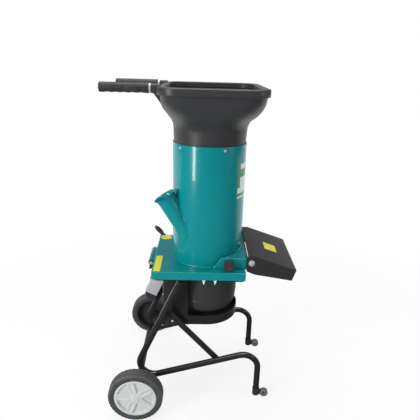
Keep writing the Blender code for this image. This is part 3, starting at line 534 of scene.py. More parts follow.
def moulded(name, colour, roughness, grain, pale=0.05):
    """Moulded plastic: spark-eroded grain, slow gloss drift, faint flow lines and handling scuffs."""
    finish = Finish(name, Specular_IOR_Level=0.35)
    fine = finish.noise(grain, 3, 0.6)
    slow = finish.noise(11, 4)
    scuffs = finish.noise(45, 7, 0.7, finish.stretched((1, 2.5, 6))).ramp(0.63, 0.7)
    worn = scuffs * finish.noise(9, 2).ramp(0.5, 0.62)
    base = finish.mix(slow, darker(colour, 0.88), darker(colour, 1.12))
    base = finish.mix(fine * pale + worn * 0.06, base, (0.75, 0.75, 0.75))
    normal = finish.bump(fine, 0.16, 0.0003)
    finish.done(base, slow * 0.12 + worn * 0.15 + fine * 0.06 + roughness, normal)


def two_tone(finish, colour, other, share, roughness):
    """Moulded plastic in two colours."""
    fine = finish.noise(800, 3, 0.6)
    slow = finish.noise(11, 4)
    base = finish.mix(slow, darker(colour, 0.93), darker(colour, 1.05))
    base = finish.mix(share, base, other)
    base = finish.mix(fine * 0.04, base, (0.7, 0.7, 0.7))
    finish.done(base, slow * 0.1 + fine * 0.06 + roughness, finish.bump(fine, 0.14, 0.0003))


def wheel_moulding(name, colour, core, edge):
    """A pale outer face on a dark core, split at a distance from the machine's middle plane."""
    finish = Finish(name, Specular_IOR_Level=0.4)
    two_tone(finish, colour, core, finish.part(1).absolute().ramp(edge, edge - 0.0006), 0.4)


def boxed(name, colour, end, edge):
    """A pale case with a dark lower end, split at a distance along the leg."""
    finish = Finish(name, Specular_IOR_Level=0.4)
    along = finish.part(0) * LEG_SLOPE[0] + finish.part(2) * LEG_SLOPE[2]
    two_tone(finish, colour, end, along.ramp(edge, edge - 0.0006), 0.42)


def rubbery(name, colour, roughness, grain, dust_colour):
    """Rubber: a dry, slightly dusty face with fine pores."""
    finish = Finish(name, Specular_IOR_Level=0.35)
    pores = finish.noise(grain, 4, 0.65)
    dust = finish.noise(26, 6, 0.7).ramp(0.42, 0.75)
    base = finish.mix(dust * 0.22 + pores * 0.06, colour, dust_colour)
    finish.done(base, dust * 0.08 + roughness, finish.bump(pores, 0.3, 0.0004))


def tyre_rubber(name, colour, centre):
    """Tyre rubber: moulded rings on the side wall, pores, and dust that gathers on the tread."""
    finish = Finish(name, Specular_IOR_Level=0.3)
    radius = ((finish.part(0) - centre[0]) ** 2 + (finish.part(2) - centre[2]) ** 2) ** 0.5
    rings = (radius * 2400).sine() * 0.5 + 0.5
    pores = finish.noise(850, 4, 0.6)
    dust = finish.noise(30, 6, 0.7).ramp(0.4, 0.72)
    tread = radius.ramp(0.086, 0.092)
    base = finish.mix(dust * 0.12 + tread * 0.16 + pores * 0.06, colour, (0.28, 0.275, 0.27))
    normal = finish.bump(pores, 0.3, 0.0005, finish.bump(rings * (1 - tread), 0.18, 0.0006))
    finish.done(base, dust * 0.1 + 0.72, normal)


def plated(name, colour, roughness):
    """Zinc plate: small crystals, cloudy gloss and a few dull spots."""
    finish = Finish(name)
    crystal = finish.cells(420, "Color")
    cloud = finish.noise(120, 4, 0.6)
    dull = finish.noise(260, 3).ramp(0.6, 0.7)
    base = finish.mix(cloud * 0.5 + dull * 0.3, colour, darker(colour, 0.72))
    base = finish.mix(0.05, base, crystal)
    normal = finish.bump(cloud, 0.1, 0.0002)
    finish.done(base, cloud * 0.16 + dull * 0.2 + roughness, normal, 0.38 - dull * 0.2)


def ground_steel(name, colour, roughness, grain):
    """Ground steel: fine parallel lines, faint oil film and small rust blooms."""
    finish = Finish(name)
    lines = finish.noise(1.0, 4, 0.6, finish.stretched(grain))
    film = finish.noise(24, 4)
    rust = finish.noise(95, 6, 0.7).ramp(0.66, 0.74)
    base = finish.mix(lines, darker(colour, 0.8), colour)
    base = finish.mix(rust * 0.5, base, (0.19, 0.085, 0.035))
    normal = finish.bump(lines, 0.2, 0.0003)
    finish.done(base, film * 0.18 + rust * 0.35 + roughness, normal, 1.0 - rust * 0.7)


def cast_metal(name, colour):
    """Cast aluminium: a sandy skin with pores and a dull, uneven sheen."""
    finish = Finish(name)
    sand = finish.noise(650, 5, 0.65)
    pores = finish.cells(240).ramp(0.16, 0.05) * finish.noise(60, 2).ramp(0.5, 0.62)
    base = finish.mix(sand * 0.4 + pores * 0.5, colour, darker(colour, 0.5))
    normal = finish.bump(sand - pores * 0.6, 0.4, 0.0005)
    finish.done(base, sand * 0.2 + 0.42, normal, 1.0 - pores * 0.5)


def laminated(name, colour):
    """Stacked sheet steel: a thin line at each sheet's edge, with a varnish stain."""
    finish = Finish(name)
    sheets = (finish.part(2) * (TURN / 0.0008)).sine() * 0.5 + 0.5
    stain = finish.noise(40, 5, 0.6).ramp(0.45, 0.7)
    base = finish.mix(sheets * 0.5, darker(colour, 0.55), colour)
    base = finish.mix(stain * 0.35, base, (0.16, 0.07, 0.02))
    finish.done(base, stain * 0.15 + 0.38, finish.bump(sheets, 0.3, 0.0004), 1.0 - stain * 0.3)


def vinyl(name, colour):
    """A printed vinyl patch: even colour with a faint weave and softer worn spots."""
    finish = Finish(name, Coat_Weight=0.15, Coat_Roughness=0.15)
    weave = finish.noise(1400, 2)
    faded = finish.noise(38, 5, 0.6).ramp(0.5, 0.72)
    base = finish.mix(faded * 0.14 + weave * 0.05, colour, (0.82, 0.8, 0.7))
    finish.done(base, faded * 0.15 + 0.34, finish.bump(weave, 0.06, 0.0002))


def side_label(name, pale, green, low, high, edge):
    """A vinyl panel in pale grey, with a green band between two heights and a green block at one end."""
    finish = Finish(name, Coat_Weight=0.2, Coat_Roughness=0.12)
    height = (finish.part(2) - low) / (high - low)
    band = height.ramp(0.6, 0.62) * height.ramp(0.86, 0.84)
    foot = height.ramp(0.16, 0.14) * height.ramp(0.05, 0.07)
    block = (finish.part(1) + edge).ramp(0.012, 0.010)
    faded = finish.noise(30, 5, 0.6)
    share = (band + foot + block * height.ramp(0.3, 0.32)).ramp(0.2, 0.9)
    base = finish.mix(share, pale, green)
    base = finish.mix(faded * 0.08, base, (0.7, 0.7, 0.68))
    finish.done(base, faded * 0.12 + 0.3, finish.bump(finish.noise(1200, 2), 0.05, 0.0002))


def pale_floor(name, colour, lift):
    """A pale floor that keeps the shadow, lifted to white for the camera and in reflections, but dark in
    reflections of the near side, as a studio's floor is past its lamps."""
    finish = Finish(name, Emission_Strength=1.0)
    seen = finish.light_path("Camera", "Glossy", "Transmission")
    away = (finish.part(0) ** 2 + finish.part(1) ** 2).ramp(0.6, 5.0)
    near = finish.light_path("Glossy") * finish.part(1).ramp(0.9, 0.15)
    glow = finish.mix(away, (lift, lift, lift), (1, 1, 1))
    glow = finish.mix(near, glow, (0.03, 0.03, 0.03))
    grain = finish.noise(6, 4)
    bare = finish.mix(grain * 0.02, colour, darker(colour, 0.9))
    kept = finish.mix(finish.math("MAXIMUM", away, near), darker(colour, 1 - lift), (0, 0, 0))
    finish.feed(finish.shader.inputs["Emission Color"], finish.mix(seen, (0, 0, 0), glow))
    finish.done(finish.mix(seen, bare, kept), 0.9, finish.bump(grain, 0.01, 0.001))


# ---- Sizes and colours that a user may change ----


def length(name, text, default, most):
    """A size from 0 to a largest value."""
    return bpy.props.FloatProperty(
        name=name, description=text, default=default, min=0.0, max=most, unit="LENGTH", precision=4
    )


def shade(name, text, default):
    """A colour in linear light."""
    return bpy.props.FloatVectorProperty(
        name=name, description=text, default=default, size=3, min=0.0, max=1.0, subtype="COLOR"
    )


class ShredderSizes(bpy.types.PropertyGroup):
    """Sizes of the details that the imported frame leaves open."""

    facets: bpy.props.IntProperty(
        name="Facets", description="Faces round the drum", default=160, min=48, max=320
    )
    weld: length("Weld bead", "Radius of the weld beads", 0.0028, 0.006)
    fold: length("Fold radius", "Radius of the folds in sheet metal", 0.0026, 0.01)
    edge: length("Eased edge", "Rounding of moulded and cut edges", 0.0005, 0.002)
    groove: length("Tread groove", "Depth of the grooves round the tyres", 0.0030, 0.006)
    finger: length("Finger hollow", "Depth of the hollows under the hand grips", 0.0011, 0.004)
    patch: length("Patch thickness", "Thickness of the vinyl patches", 0.00025, 0.001)


class ShredderColours(bpy.types.PropertyGroup):
    """Colours of the finishes."""

    teal: shade("Housing", "Sprayed enamel of the drum and deck", tone(0, 139, 143))
    black: shade("Frame", "Gloss enamel of the frame, hood and guard", tone(40, 41, 42))
    moulding: shade("Mouldings", "Plastic of the hopper, motor cover and lever", tone(44, 45, 47))
    rubber: shade("Rubber", "Hand grips and feet", tone(40, 41, 44))
    tyre: shade("Tyres", "Tyre rubber", tone(62, 63, 65))
    rim: shade("Wheels", "Moulded wheels", tone(205, 208, 206))
    case: shade("Switch box", "Moulded box behind the leg", tone(196, 192, 197))
    patch: shade("Patches", "Plain vinyl patches", tone(250, 238, 40))
    label_pale: shade("Label ground", "Pale part of the side panel", tone(226, 238, 232))
    label_green: shade("Label bands", "Green part of the side panel", tone(38, 132, 78))


def sizes():
    """The sizes that a user may change."""
    return bpy.context.scene.shredder_sizes


# ---- Pieces of the housing ----


def on_branch():
    """The mouth's middle, the tube's direction, the direction over it, and the flare's radius."""
    low, high = box("branch_tube")
    flare = (high[1] - low[1]) / 2
    along = np.array((math.cos(BRANCH_SLOPE), 0.0, -math.sin(BRANCH_SLOPE)))
    over = np.array((math.sin(BRANCH_SLOPE), 0.0, math.cos(BRANCH_SLOPE)))
    mouth = (low[0] + flare * over[0], (low[1] + high[1]) / 2, high[2] - flare * over[2])
    return np.array(mouth), along, over, flare


def reach_of_drum(start, along, radius):
    """How far a line from start runs before it is at a radius from the drum's axis: the smaller root of
    |start + t*along| = radius in plan."""
    flat = (start - AXIS)[..., :2]
    a = along[0] ** 2 + along[1] ** 2
    b = flat @ along[:2]
    c = (flat**2).sum(axis=-1) - radius**2
    return (-b - np.sqrt(b * b - a * c)) / a


def make_drum():
    """A rolled tube with eased lips, and the branch tube's bore and the discharge slot taken out of it."""
    low, high = DRUM_LOW[2], DRUM_HIGH[2]
    inner = DRUM_R - SHEET
    profile = eased([(DRUM_R, low), (DRUM_R, high), (inner, high), (inner, low)], 0.0006)
    drum = turned("drum_shell", profile, AXIS, UP, sizes().facets)
    mouth, along, _, flare = on_branch()
    bore_depth = 0.205
    bore = oblong((0, flare - BRANCH_FLARE - SHEET), (0, bore_depth))
    carve(drum, turned("bore", bore, mouth, along, 64))
    slot = oblong((DRUM_X + 0.090, DRUM_X + 0.140), (-0.085, 0.085))
    slot_top = 0.551
    carve(drum, plate("slot", slot, "Z", low - 0.001, slot_top))
    settle(drum, "housing", *TEAL, "drum")


def make_branch_tube():
    """A flared tube whose far end follows the drum: rows go down the outside and back up the bore."""
    mouth, along, over, flare = on_branch()
    angle = np.linspace(0, TURN, 72, endpoint=False)
    spoke = np.cos(angle)[:, None] * over + np.sin(angle)[:, None] * LEFT
    neck = flare - BRANCH_FLARE
    lip = eased([(flare - SHEET, 0.0008), (flare - SHEET / 2, -0.0002), (flare, 0.0006)], 0.0006, 4, False)
    bell = [(flare, 0.0006), (flare - 0.0045, 0.006), (neck, 0.018), (neck, BRANCH_BELL)]
    bell = eased(bell, 0.006, 7, False)
    rows = []
    for inset, profile in ((0.0, np.concatenate([lip, bell])), (SHEET, bell)):
        near = mouth + (profile[:, :1, None] - inset) * spoke[None] + profile[:, 1:, None] * along
        start = mouth + (neck - inset) * spoke
        end = reach_of_drum(start, along, DRUM_R + GAP)[:, None]
        share = np.linspace(0, 1, 26)[1:, None, None]
        far = start + (BRANCH_BELL + share * (end - BRANCH_BELL)) * along
        rows.append(np.concatenate([near, far]))
    tube = skin("branch_tube_shell", np.concatenate([rows[0], rows[1][::-1]]), wrap_rows=True)
    settle(tube, "housing", *TEAL, "branch_tube")
    start = mouth + neck * spoke
    seam = start + reach_of_drum(start, along, DRUM_R)[:, None] * along
    bead("branch_weld", seam, closed=True)


def bead(name, path, closed=False):
    """A weld bead: a circle carried along a seam, its radius times 1 + 0.12 sin(a) + 0.06 sin(b).

    a makes one turn each pitch of arc length, and b seven turns over the whole seam.
    """
    pitch = 0.0045
    run = np.linalg.norm(np.diff(path, axis=0, append=path[:1]), axis=1)
    arc = np.cumsum(run)
    waves = round(arc[-1] / pitch)
    share = TURN * arc / arc[-1]
    ripple = 1 + 0.12 * np.sin(waves * share) + 0.06 * np.sin(7 * share)
    outward = unit((path - AXIS) * (1, 1, 0))
    weld = carried(name, path, circle(sizes().weld, 10), outward, closed, ripple, sharp=60)
    settle(weld, "housing", *TEAL)


def make_deck():
    """A folded tray: rows climb the lip, round the fold, cross the top to the hole, and return underneath.

    Across the top, P = (1-s)*outline + s*hole, with each hole point in line with its outline point.
    """
    low, high = box("deck")
    sheet = 0.0018
    fold = sizes().fold
    hole = DRUM_R - 0.0028
    corner = 0.0035
    least = 0.0012

    def outline(inset):
        x = (low[0] + inset, high[0] - inset)
        return rounded(x, (low[1] + inset, high[1] - inset), max(corner - inset, least), 9, 22)

    def level(pairs, z):
        return np.column_stack([pairs, np.full(len(pairs), z)])

    def climb(skin_in, radius, top):
        turn = np.linspace(0, np.pi / 2, 7)
        rows = [level(outline(skin_in), low[2])]
        for a in turn:
            inset = skin_in + radius * (1 - math.cos(a))
            rows.append(level(outline(inset), top - radius * (1 - math.sin(a))))
        edge = rows[-1]
        flat = edge[:, :2] - AXIS[:2]
        ring = np.column_stack([AXIS[:2] + hole * unit(flat), edge[:, 2]])
        share = np.linspace(0, 1, 9)[1:, None, None]
        return np.concatenate([np.array(rows), edge * (1 - share) + ring * share])

    outer = climb(0.0, fold, high[2])
    inner = climb(sheet, fold - sheet, high[2] - sheet)
    deck = skin("deck_tray", np.concatenate([outer, inner[::-1]]), wrap_rows=True)
    tab = middle("lock_knob")[0]
    slot = oblong((tab - 0.018, tab + 0.020), (-0.130, -0.124))
    carve(deck, plate("tab_slot", slot, "Z", low[2], high[2] + 0.01))
    settle(deck, "housing", *TEAL, "deck")
    angle = np.radians(np.linspace(84, 276, 240))
    radius = DRUM_R + 0.0012
    seam = AXIS + np.column_stack([radius * np.cos(angle), radius * np.sin(angle), 0 * angle])
    seam[:, 2] = high[2] + 0.0014
    bead("drum_weld", seam)


def make_hinge_barrel():
    """A tube across the rear edge, and the leaf that joins it to the deck's lip."""
    low, high = box("hinge_barrel")
    pin = middle("hinge_pin")
    radius = (high[2] - low[2] - 0.002) / 2
    start = (pin[0], low[1], pin[2])
    corners = oblong((0.0044, radius), (0, high[1] - low[1]))
    barrel = turned("hinge_barrel_tube", eased(corners, 0.0008), start, LEFT, 48)
    settle(barrel, "housing", *TEAL, "hinge_barrel")
    leaf_foot = 0.4925
    leaf = oblong((high[0] - 0.0035, high[0]), (leaf_foot, high[2]))
    leaf = plate("hinge_leaf", leaf, "Y", low[1] + 0.001, high[1] - 0.001, sizes().edge)
    settle(leaf, "housing", *TEAL)


def make_channel():
    """The duct: an arch of wall, fold, roof, fold and wall, whose rear end follows the drum in plan.

    Y and Z run round the arch, and X goes from the drum, sqrt(R^2 - Y^2), to the front. The walls are low
    and closer together at their rear ends. A black rubber sealing strip lies on the roof's front edge; it is
    partly painted shade, a dark strip standing in for the shade in the gap under the hood. An ear holds
    each bolt.
    """
    low, high = box("discharge_channel")
    front = DRUM_X + 0.138
    half = high[1] - 0.0001
    fold = sizes().fold
    turn = np.linspace(0, np.pi / 2, 8)
    wall_z = np.linspace(low[2], high[2] - fold, 6)
    roof = np.linspace(-1, 1, 41)[1:-1] * (half - fold)
    right_y = np.concatenate([np.full(6, -half), -half + fold * (1 - np.cos(turn))])
    right_z = np.concatenate([wall_z, high[2] - fold + fold * np.sin(turn)])
    y = np.concatenate([right_y, roof, -right_y[::-1]])
    z = np.concatenate([right_z, np.full(len(roof), high[2]), right_z[::-1]])
    clear = DRUM_R + GAP
    least = 0.018
    first = DRUM_X + least
    taper = 0.030
    draw_in, rear_share = 0.0568, 0.944
    reached = np.minimum(np.abs(y) * rear_share, clear)
    rear = DRUM_X + np.sqrt(np.maximum(clear**2 - reached**2, least**2))
    share = np.linspace(0, 1, 12)[:, None]
    x = rear + share * (front - rear)
    narrow = 1 - draw_in * (1 - step_up(x, first - 0.006, first + taper))
    kept = np.clip(np.maximum((x - first) / taper, (half - np.abs(y)) / 0.012), 0.05, 1)
    points = np.stack(np.broadcast_arrays(x, y * narrow, low[2] + (z - low[2]) * kept), axis=-1)
    faces = grid_faces(*points.shape[:2], False, False)
    arch = piece("channel_duct", points, faces[:, ::-1], closed=False)
    thick(arch, SHEET)
    settle(arch, "housing", *TEAL, "discharge_channel")
    # Partly painted shade: a black rubber strip that also stands in for the shade in the gap under the hood.
    shade_seal = rounded((front - 0.0022, front - 0.0002), (high[2] + 0.0002, high[2] + 0.0043), 0.0009, 5, 2)
    shade_seal = plate("channel_shade_seal", shade_seal, "Y", -half + 0.001, half - 0.001)
    settle(shade_seal, "housing", "black_plastic", "soft rubber")
    pivot = middle("hood_pivot_bolt_right")
    turn = np.radians(np.linspace(-60, 90, 16))
    ear_radius = 0.014
    tip = pivot[[0, 2]] + ear_radius * np.column_stack([np.cos(turn), np.sin(turn)])
    base = DRUM_X + 0.120
    foot = [(base, low[2] + 0.002), (DRUM_X + 0.156, 0.530)]
    outline = np.concatenate([foot, tip, [(base, high[2] - 0.001)]])
    for name, side in SIDES.items():
        inner, outer = sorted((side * (half - SHEET - 0.0002), side * (half - GAP)))
        ear = plate(f"channel_ear_{name}", outline, "Y", inner, outer, 0.0003)
        settle(ear, "housing", *TEAL)


# Height, rear, front, half width and corner radius of the hopper, with rear and front from the drum's axis.
HOPPER = (
    (0.8950, -0.1205, 0.1205, 0.1205, 0.1203),
    (0.9320, -0.1220, 0.1220, 0.1220, 0.1218),
    (0.9800, -0.1235, 0.1255, 0.1250, 0.1243),
    (0.9920, -0.1245, 0.1280, 0.1320, 0.1225),
    (1.0050, -0.1280, 0.1320, 0.1450, 0.1180),
    (1.0260, -0.1380, 0.1500, 0.1690, 0.1080),
    (1.0485, -0.1500, 0.1620, 0.1880, 0.0950),
    (1.0700, -0.1550, 0.1665, 0.2000, 0.0800),
    (1.0900, -0.1560, 0.1680, 0.2060, 0.0700),
)


def hopper_outline(row, inset=0.0):
    """A row of sizes like those of HOPPER as a closed outline at its height, smaller by the inset."""
    z, rear, front, half, corner = row
    x = (DRUM_X + rear + inset, DRUM_X + front - inset)
    pairs = rounded(x, (-half + inset, half - inset), corner - inset, 20, 10)
    return np.column_stack([pairs, np.full(len(pairs), z)])


def make_hopper():
    """A moulded shell: rounded rectangles whose sizes follow smooth curves of height, up to the rim and back.

    An arm and a web below it reach from the shell to each handle.
    """
    table = np.array(HOPPER)
    levels = np.linspace(table[0, 0], table[-1, 0], 64)
    grown = np.column_stack([levels, through(table[:, 0], table[:, 1:], levels)])
    rim = [(0, 1.090), (0.005, 1.0905), (0.005, 1.1135), (-0.003, 1.1145)]
    rim += [(-0.0145, 1.1135), (-0.0165, 1.098)]
    rim = eased(rim, (0.002, 0.002, 0.004, 0.003, 0.003, 0.004), 6, False)
    out = rim[:, 0]
    over = np.maximum(out, 0)
    _, rear, front, half, corner = HOPPER[-1]
    corners = corner - 1.6 * over + np.minimum(out, 0)
    rim_rows = np.column_stack([rim[:, 1], rear - out, front + out, half + 0.002 + out + over, corners])
    outside = [hopper_outline(row) for row in grown]
    turned_out = [hopper_outline(row) for row in rim_rows]
    inside = [hopper_outline(row, 0.003) for row in grown[:-4][::-1]]
    shell = skin("hopper_shell", np.array(outside + turned_out + inside), wrap_rows=True)
    settle(shell, "housing", *MOULDING, "hopper")
    arm_half = 0.0125
    web_half = 0.004
    foot = [(-0.176, 1.096), (-0.150, 1.096), (-0.130, 1.048), (-0.143, 1.050), (-0.160, 1.075)]
    foot = eased(np.array(foot) + (DRUM_X, 0), (0.001, 0.001, 0.001, 0.004, 0.012), 6)
    for name in SIDES:
        y = middle(f"grip_{name}")[1]
        arm = rounded((y - arm_half, y + arm_half), (1.0925, 1.1193), 0.006, 8, 2)
        arm = plate(f"hopper_arm_{name}", arm, "X", DRUM_X - 0.180, DRUM_X - 0.152, 0.0016, 3)
        settle(arm, "housing", *MOULDING)
        web = plate(f"hopper_web_{name}", foot, "Y", y - web_half, y + web_half, 0.001, 3)
        settle(web, "housing", *MOULDING)


def make_handles():
    """Rubber sleeves with finger hollows and fine ribs underneath, on plated tubes with a collar."""
    for name in SIDES:
        low, high = box(f"grip_{name}")
        radius = (high[2] - low[2]) / 2
        reach = high[0] - low[0]
        start = (low[0], (low[1] + high[1]) / 2, (low[2] + high[2]) / 2)
        run = np.linspace(0.003, reach - 0.001, 150)
        ends = [(0, 0), (radius - 0.003, 0), (radius - 0.0008, 0.0008), (radius, 0.003)]
        bore = [(radius, reach), (0.0104, reach), (0.0104, 0.002), (0, 0.002)]
        profile = np.concatenate([ends, np.column_stack([np.full(len(run), radius), run]), bore])
        margin = 0.012
        pitch = (reach - 2 * margin) / 5
        rib_pitch, rib_depth = 0.0036, 0.00045
        depth = sizes().finger

        def hollow(r, d, a):
            under = step_up(-np.cos(a), -0.25, 0.25)
            along = step_up(d, margin / 2, margin) * step_up(reach - d, margin / 2, margin)
            fingers = 0.5 - 0.5 * np.cos(TURN * (d - margin) / pitch)
            ribs = 0.5 - 0.5 * np.cos(TURN * d / rib_pitch)
            cut = under * along * (depth * fingers + rib_depth * ribs)
            return np.where(r > radius - 0.0001, r - cut, r), d

        grip = turned(f"grip_sleeve_{name}", profile, start, FRONT, 48, hollow, sharp=60)
        settle(grip, "housing", *RUBBER, f"grip_{name}")
        tube_low, tube_high = box(f"handle_tube_{name}")
        tube_start = (high[0], start[1], start[2])
        back = tube_low[0] - high[0]
        front = tube_high[0] - high[0]
        bar = 0.010
        collar = (tube_high[2] - tube_low[2]) / 2
        collar_end = 0.0055
        corners = [(0, back), (bar, back), (bar, GAP), (collar, GAP), (collar, collar_end)]
        corners += [(bar, collar_end), (bar, front), (0, front)]
        tube = turned(f"handle_bar_{name}", eased(corners, 0.0005, 3, False), tube_start, FRONT, 40)
        settle(tube, "housing", *ZINC, f"handle_tube_{name}")


def domed_screw(name, place, along, node):
    """A pan-head screw: a domed head with a cross recess, on a plain shank that goes back into the wall."""
    head, brim, rise = 0.0048, 0.0006, 0.0025
    neck, shank = 0.0022, 0.008
    turn = np.linspace(0, 1, 14) * np.pi / 2
    dome = np.column_stack([head * np.sin(turn), GAP + brim + rise * np.cos(turn)])
    profile = np.concatenate([dome, [(head, GAP), (neck, GAP), (neck, -shank), (0, -shank)]])
    cross_half, cross_reach, cross_depth = 0.0009, 0.0031, 0.0014

    def recess(r, d, a):
        aside = np.minimum(np.abs(r * np.cos(a)), np.abs(r * np.sin(a)))
        mask = step_up(cross_half - aside, 0, 0.0004) * step_up(cross_reach - r, 0, 0.0005) * (d > brim)
        return r, d - cross_depth * mask

    screw = turned(name, profile, place, along, 48, recess, sharp=40)
    settle(screw, "housing", *ZINC, node)


def make_screws_and_bolts():
    """Neck screws, hood pivot bolts, guard bolts, the lever's bolt and the hinge pin."""
    for i in range(5):
        place = middle(f"neck_screw_{i + 1}")
        out = unit((place - AXIS) * (1, 1, 0))
        start = AXIS + out * DRUM_R + (0, 0, place[2])
        domed_screw(f"neck_screw_head_{i + 1}", start, out, f"neck_screw_{i + 1}")
    ear_inner = 0.1242
    hood_outer = box("discharge_hood")[1][1] + GAP
    guard_outer = box("motor_guard")[1][1] + GAP
    pivot_nut, guard_nut = (0.007, 0.006), (0.0065, 0.0045)
    for name, side in SIDES.items():
        node = f"hood_pivot_bolt_{name}"
        bolt = hex_bolt(f"pivot_bolt_{name}", node, side, ear_inner, hood_outer, pivot_nut, PIVOT_HEAD)
        settle(bolt, "housing", *ZINC, node)
        node = f"guard_bolt_{name}"
        inner = np.abs(box(node))[:, 1].min()
        bolt = hex_bolt(f"guard_fixing_{name}", node, side, inner, guard_outer, guard_nut, GUARD_HEAD)
        settle(bolt, "chassis", *ENAMEL, node)
    end = box("hinge_pin")[1][1]
    groove = end - 0.003
    corners = [(0, end), (0.0062, end), (0.0062, groove), (BOLT_SHANK, groove)]
    corners += [(r, -d) for r, d in corners[::-1]]
    profile = eased(corners, 0.0007, 4, False)[::-1]
    pin = turned("hinge_rod", profile, middle("hinge_pin") * (1, 0, 1), LEFT, 40)
    settle(pin, "chassis", *ZINC, "hinge_pin")
    refined("lever_pivot_bolt", "housing", *ZINC, 0.0006)


# The washer, head and chamfer of each bolt, as (radius, rise above the face that it clamps).
PIVOT_HEAD = (
    (0.011, 0.0), (0.011, 0.0015),
    (0.0078, 0.0015), (0.0078, 0.0045),
    (0.006, 0.0072), (0, 0.0078),
)
GUARD_HEAD = (
    (0.0095, 0.0), (0.0095, 0.0016),
    (0.0068, 0.0016), (0.0068, 0.0052),
    (0.0045, 0.0068), (0, 0.0072),
)


def hex_bolt(name, node, side, inner, outer, nut, head):
    """A bolt along Y in its node's place: a nut at the inner end, a shank, and a washer and head outside."""
    radius, deep = nut
    corners = [(0, inner), (radius, inner), (radius, inner + deep)]
    corners += [(BOLT_SHANK, inner + deep), (BOLT_SHANK, outer)]
    corners += [(r, outer + rise) for r, rise in head]
    profile = eased(corners, 0.0006, 4, False)
    return turned(name, profile, middle(node) * (1, 0, 1), (0, side, 0), 48, hexed)


def hexed(r, d, a):
    """Makes radii of 6.4 to 8.2 mm six-sided: r * cos 30 / cos(a mod 60 - 30), in degrees."""
    face = np.mod(a, np.pi / 3) - np.pi / 6
    six = r * math.cos(np.pi / 6) / np.cos(face)
    head = (r > 0.0064) & (r < 0.0082)
    return np.where(head, six, r), d


def make_hood():
    """A folded cover: an outline carried from side to side, with a cheek at each end, open below and behind.

    Only the outline's first three sides are carried: top, slope and front. The cheeks reach further back.
    """
    low, high = box("discharge_hood")
    front = high[0]
    cheek_rear = front - 0.172
    outline = [(front - 0.1685, high[2]), (front - HOOD_RIDGE, high[2]), (front, HOOD_LIP_Z)]
    outline += [(front - 0.013, low[2]), (front - 0.1435, 0.500), (front - 0.170, 0.511)]
    outline += [(cheek_rear, 0.515), (cheek_rear, 0.556)]
    y = low[1] + 0.00002
    near, far = (np.insert(outline, 1, side, axis=1) for side in (y, -y))
    points = np.concatenate([near, far])
    count = len(outline)
    faces = [[i, i + 1, i + 1 + count, i + count] for i in range(3)]
    faces += [list(range(count))[::-1], list(range(count, 2 * count))]
    hood = piece("hood_cover", points, faces, sharp=180, closed=False)
    thick(hood, SHEET)
    bevelled(hood, 0.0011, 3)
    settle(hood, "hood", "black_paint", "satin enamel", "discharge_hood")


def make_knob():
    """A knob with six lobes: its radius drops by 1.6 mm * (1 - cos 6a) / 2. A cap sits in its face."""
    low, high = box("lock_knob")
    radius = 0.0193
    lobe = 0.0016
    start = ((low[0] + high[0]) / 2, low[1], (low[2] + high[2]) / 2)
    deep = high[1] - low[1]
    corners = [(0, 0.0014), (0.0068, 0.0014), (0.0085, 0), (radius - 0.001, 0), (radius, 0.004)]
    corners += [(radius, 0.018), (radius - 0.002, 0.022), (0.010, 0.022), (0.010, 0.0255)]
    corners += [(0.003, 0.0255), (0.003, deep), (0, deep)]
    profile = eased(corners, 0.0012, 5, False)

    def lobes(r, d, a):
        share = step_up(r, 0.012, 0.017)
        return r - share * lobe * (1 - np.cos(6 * a)) / 2, d

    knob = turned("knob_body", profile, start, LEFT, 96, lobes)
    settle(knob, "knob", *MOULDING, "lock_knob")
    disc = eased([(0, 0.0002), (0.0058, 0.0004), (0.0063, 0.0016), (0, 0.0016)], 0.0004, 4, False)
    cap = turned("knob_cap", disc, start, LEFT, 48)
    settle(cap, "knob", "black_plastic", "brown cap")


def make_lever():
    """A flat arm with a round, bored eye, and a spindle-shaped hand knob on it."""
    bolt = middle("lever_pivot_bolt")
    slope = math.radians(134)
    along = np.array((math.cos(slope), 0, math.sin(slope)))
    flat = np.array((along[0], along[2]))
    beside = np.array((-flat[1], flat[0]))
    centre = np.array((bolt[0], bolt[2]))
    eye_radius, arm_half, arm_reach = 0.009, 0.006, 0.034
    inner, outer, grip_y = 0.1668, 0.1698, 0.1753
    turn = np.linspace(np.pi / 2, 3 * np.pi / 2, 20)[:, None]
    eye = centre + eye_radius * (np.cos(turn) * flat + np.sin(turn) * beside)
    tip = centre + flat * arm_reach
    outline = np.concatenate([[tip + arm_half * beside], eye, [tip - arm_half * beside]])
    arm = plate("lever_arm", outline, "Y", inner, outer, 0.0005)
    hole = oblong((0, BOLT_BORE), (-0.01, 0.01))
    bore = turned("lever_bore", hole, (bolt[0], (inner + outer) / 2, bolt[2]), LEFT, 32)
    carve(applied(arm), bore)
    settle(arm, "lever", *MOULDING, "catch_lever")
    profile = [(0, 0.018), (0.005, 0.019), (0.0085, 0.028), (0.0098, 0.042), (0.008, 0.056)]
    profile += [(0.004, 0.064), (0, 0.066)]
    profile = eased(profile, (0.001, 0.002, 0.007, 0.007, 0.007, 0.004, 0.001), 8, False)
    spindle = turned("lever_grip", profile, (bolt[0], grip_y, bolt[2]), along, 48)
    settle(spindle, "lever", *MOULDING)


# ---- Pieces of the machine under the deck ----


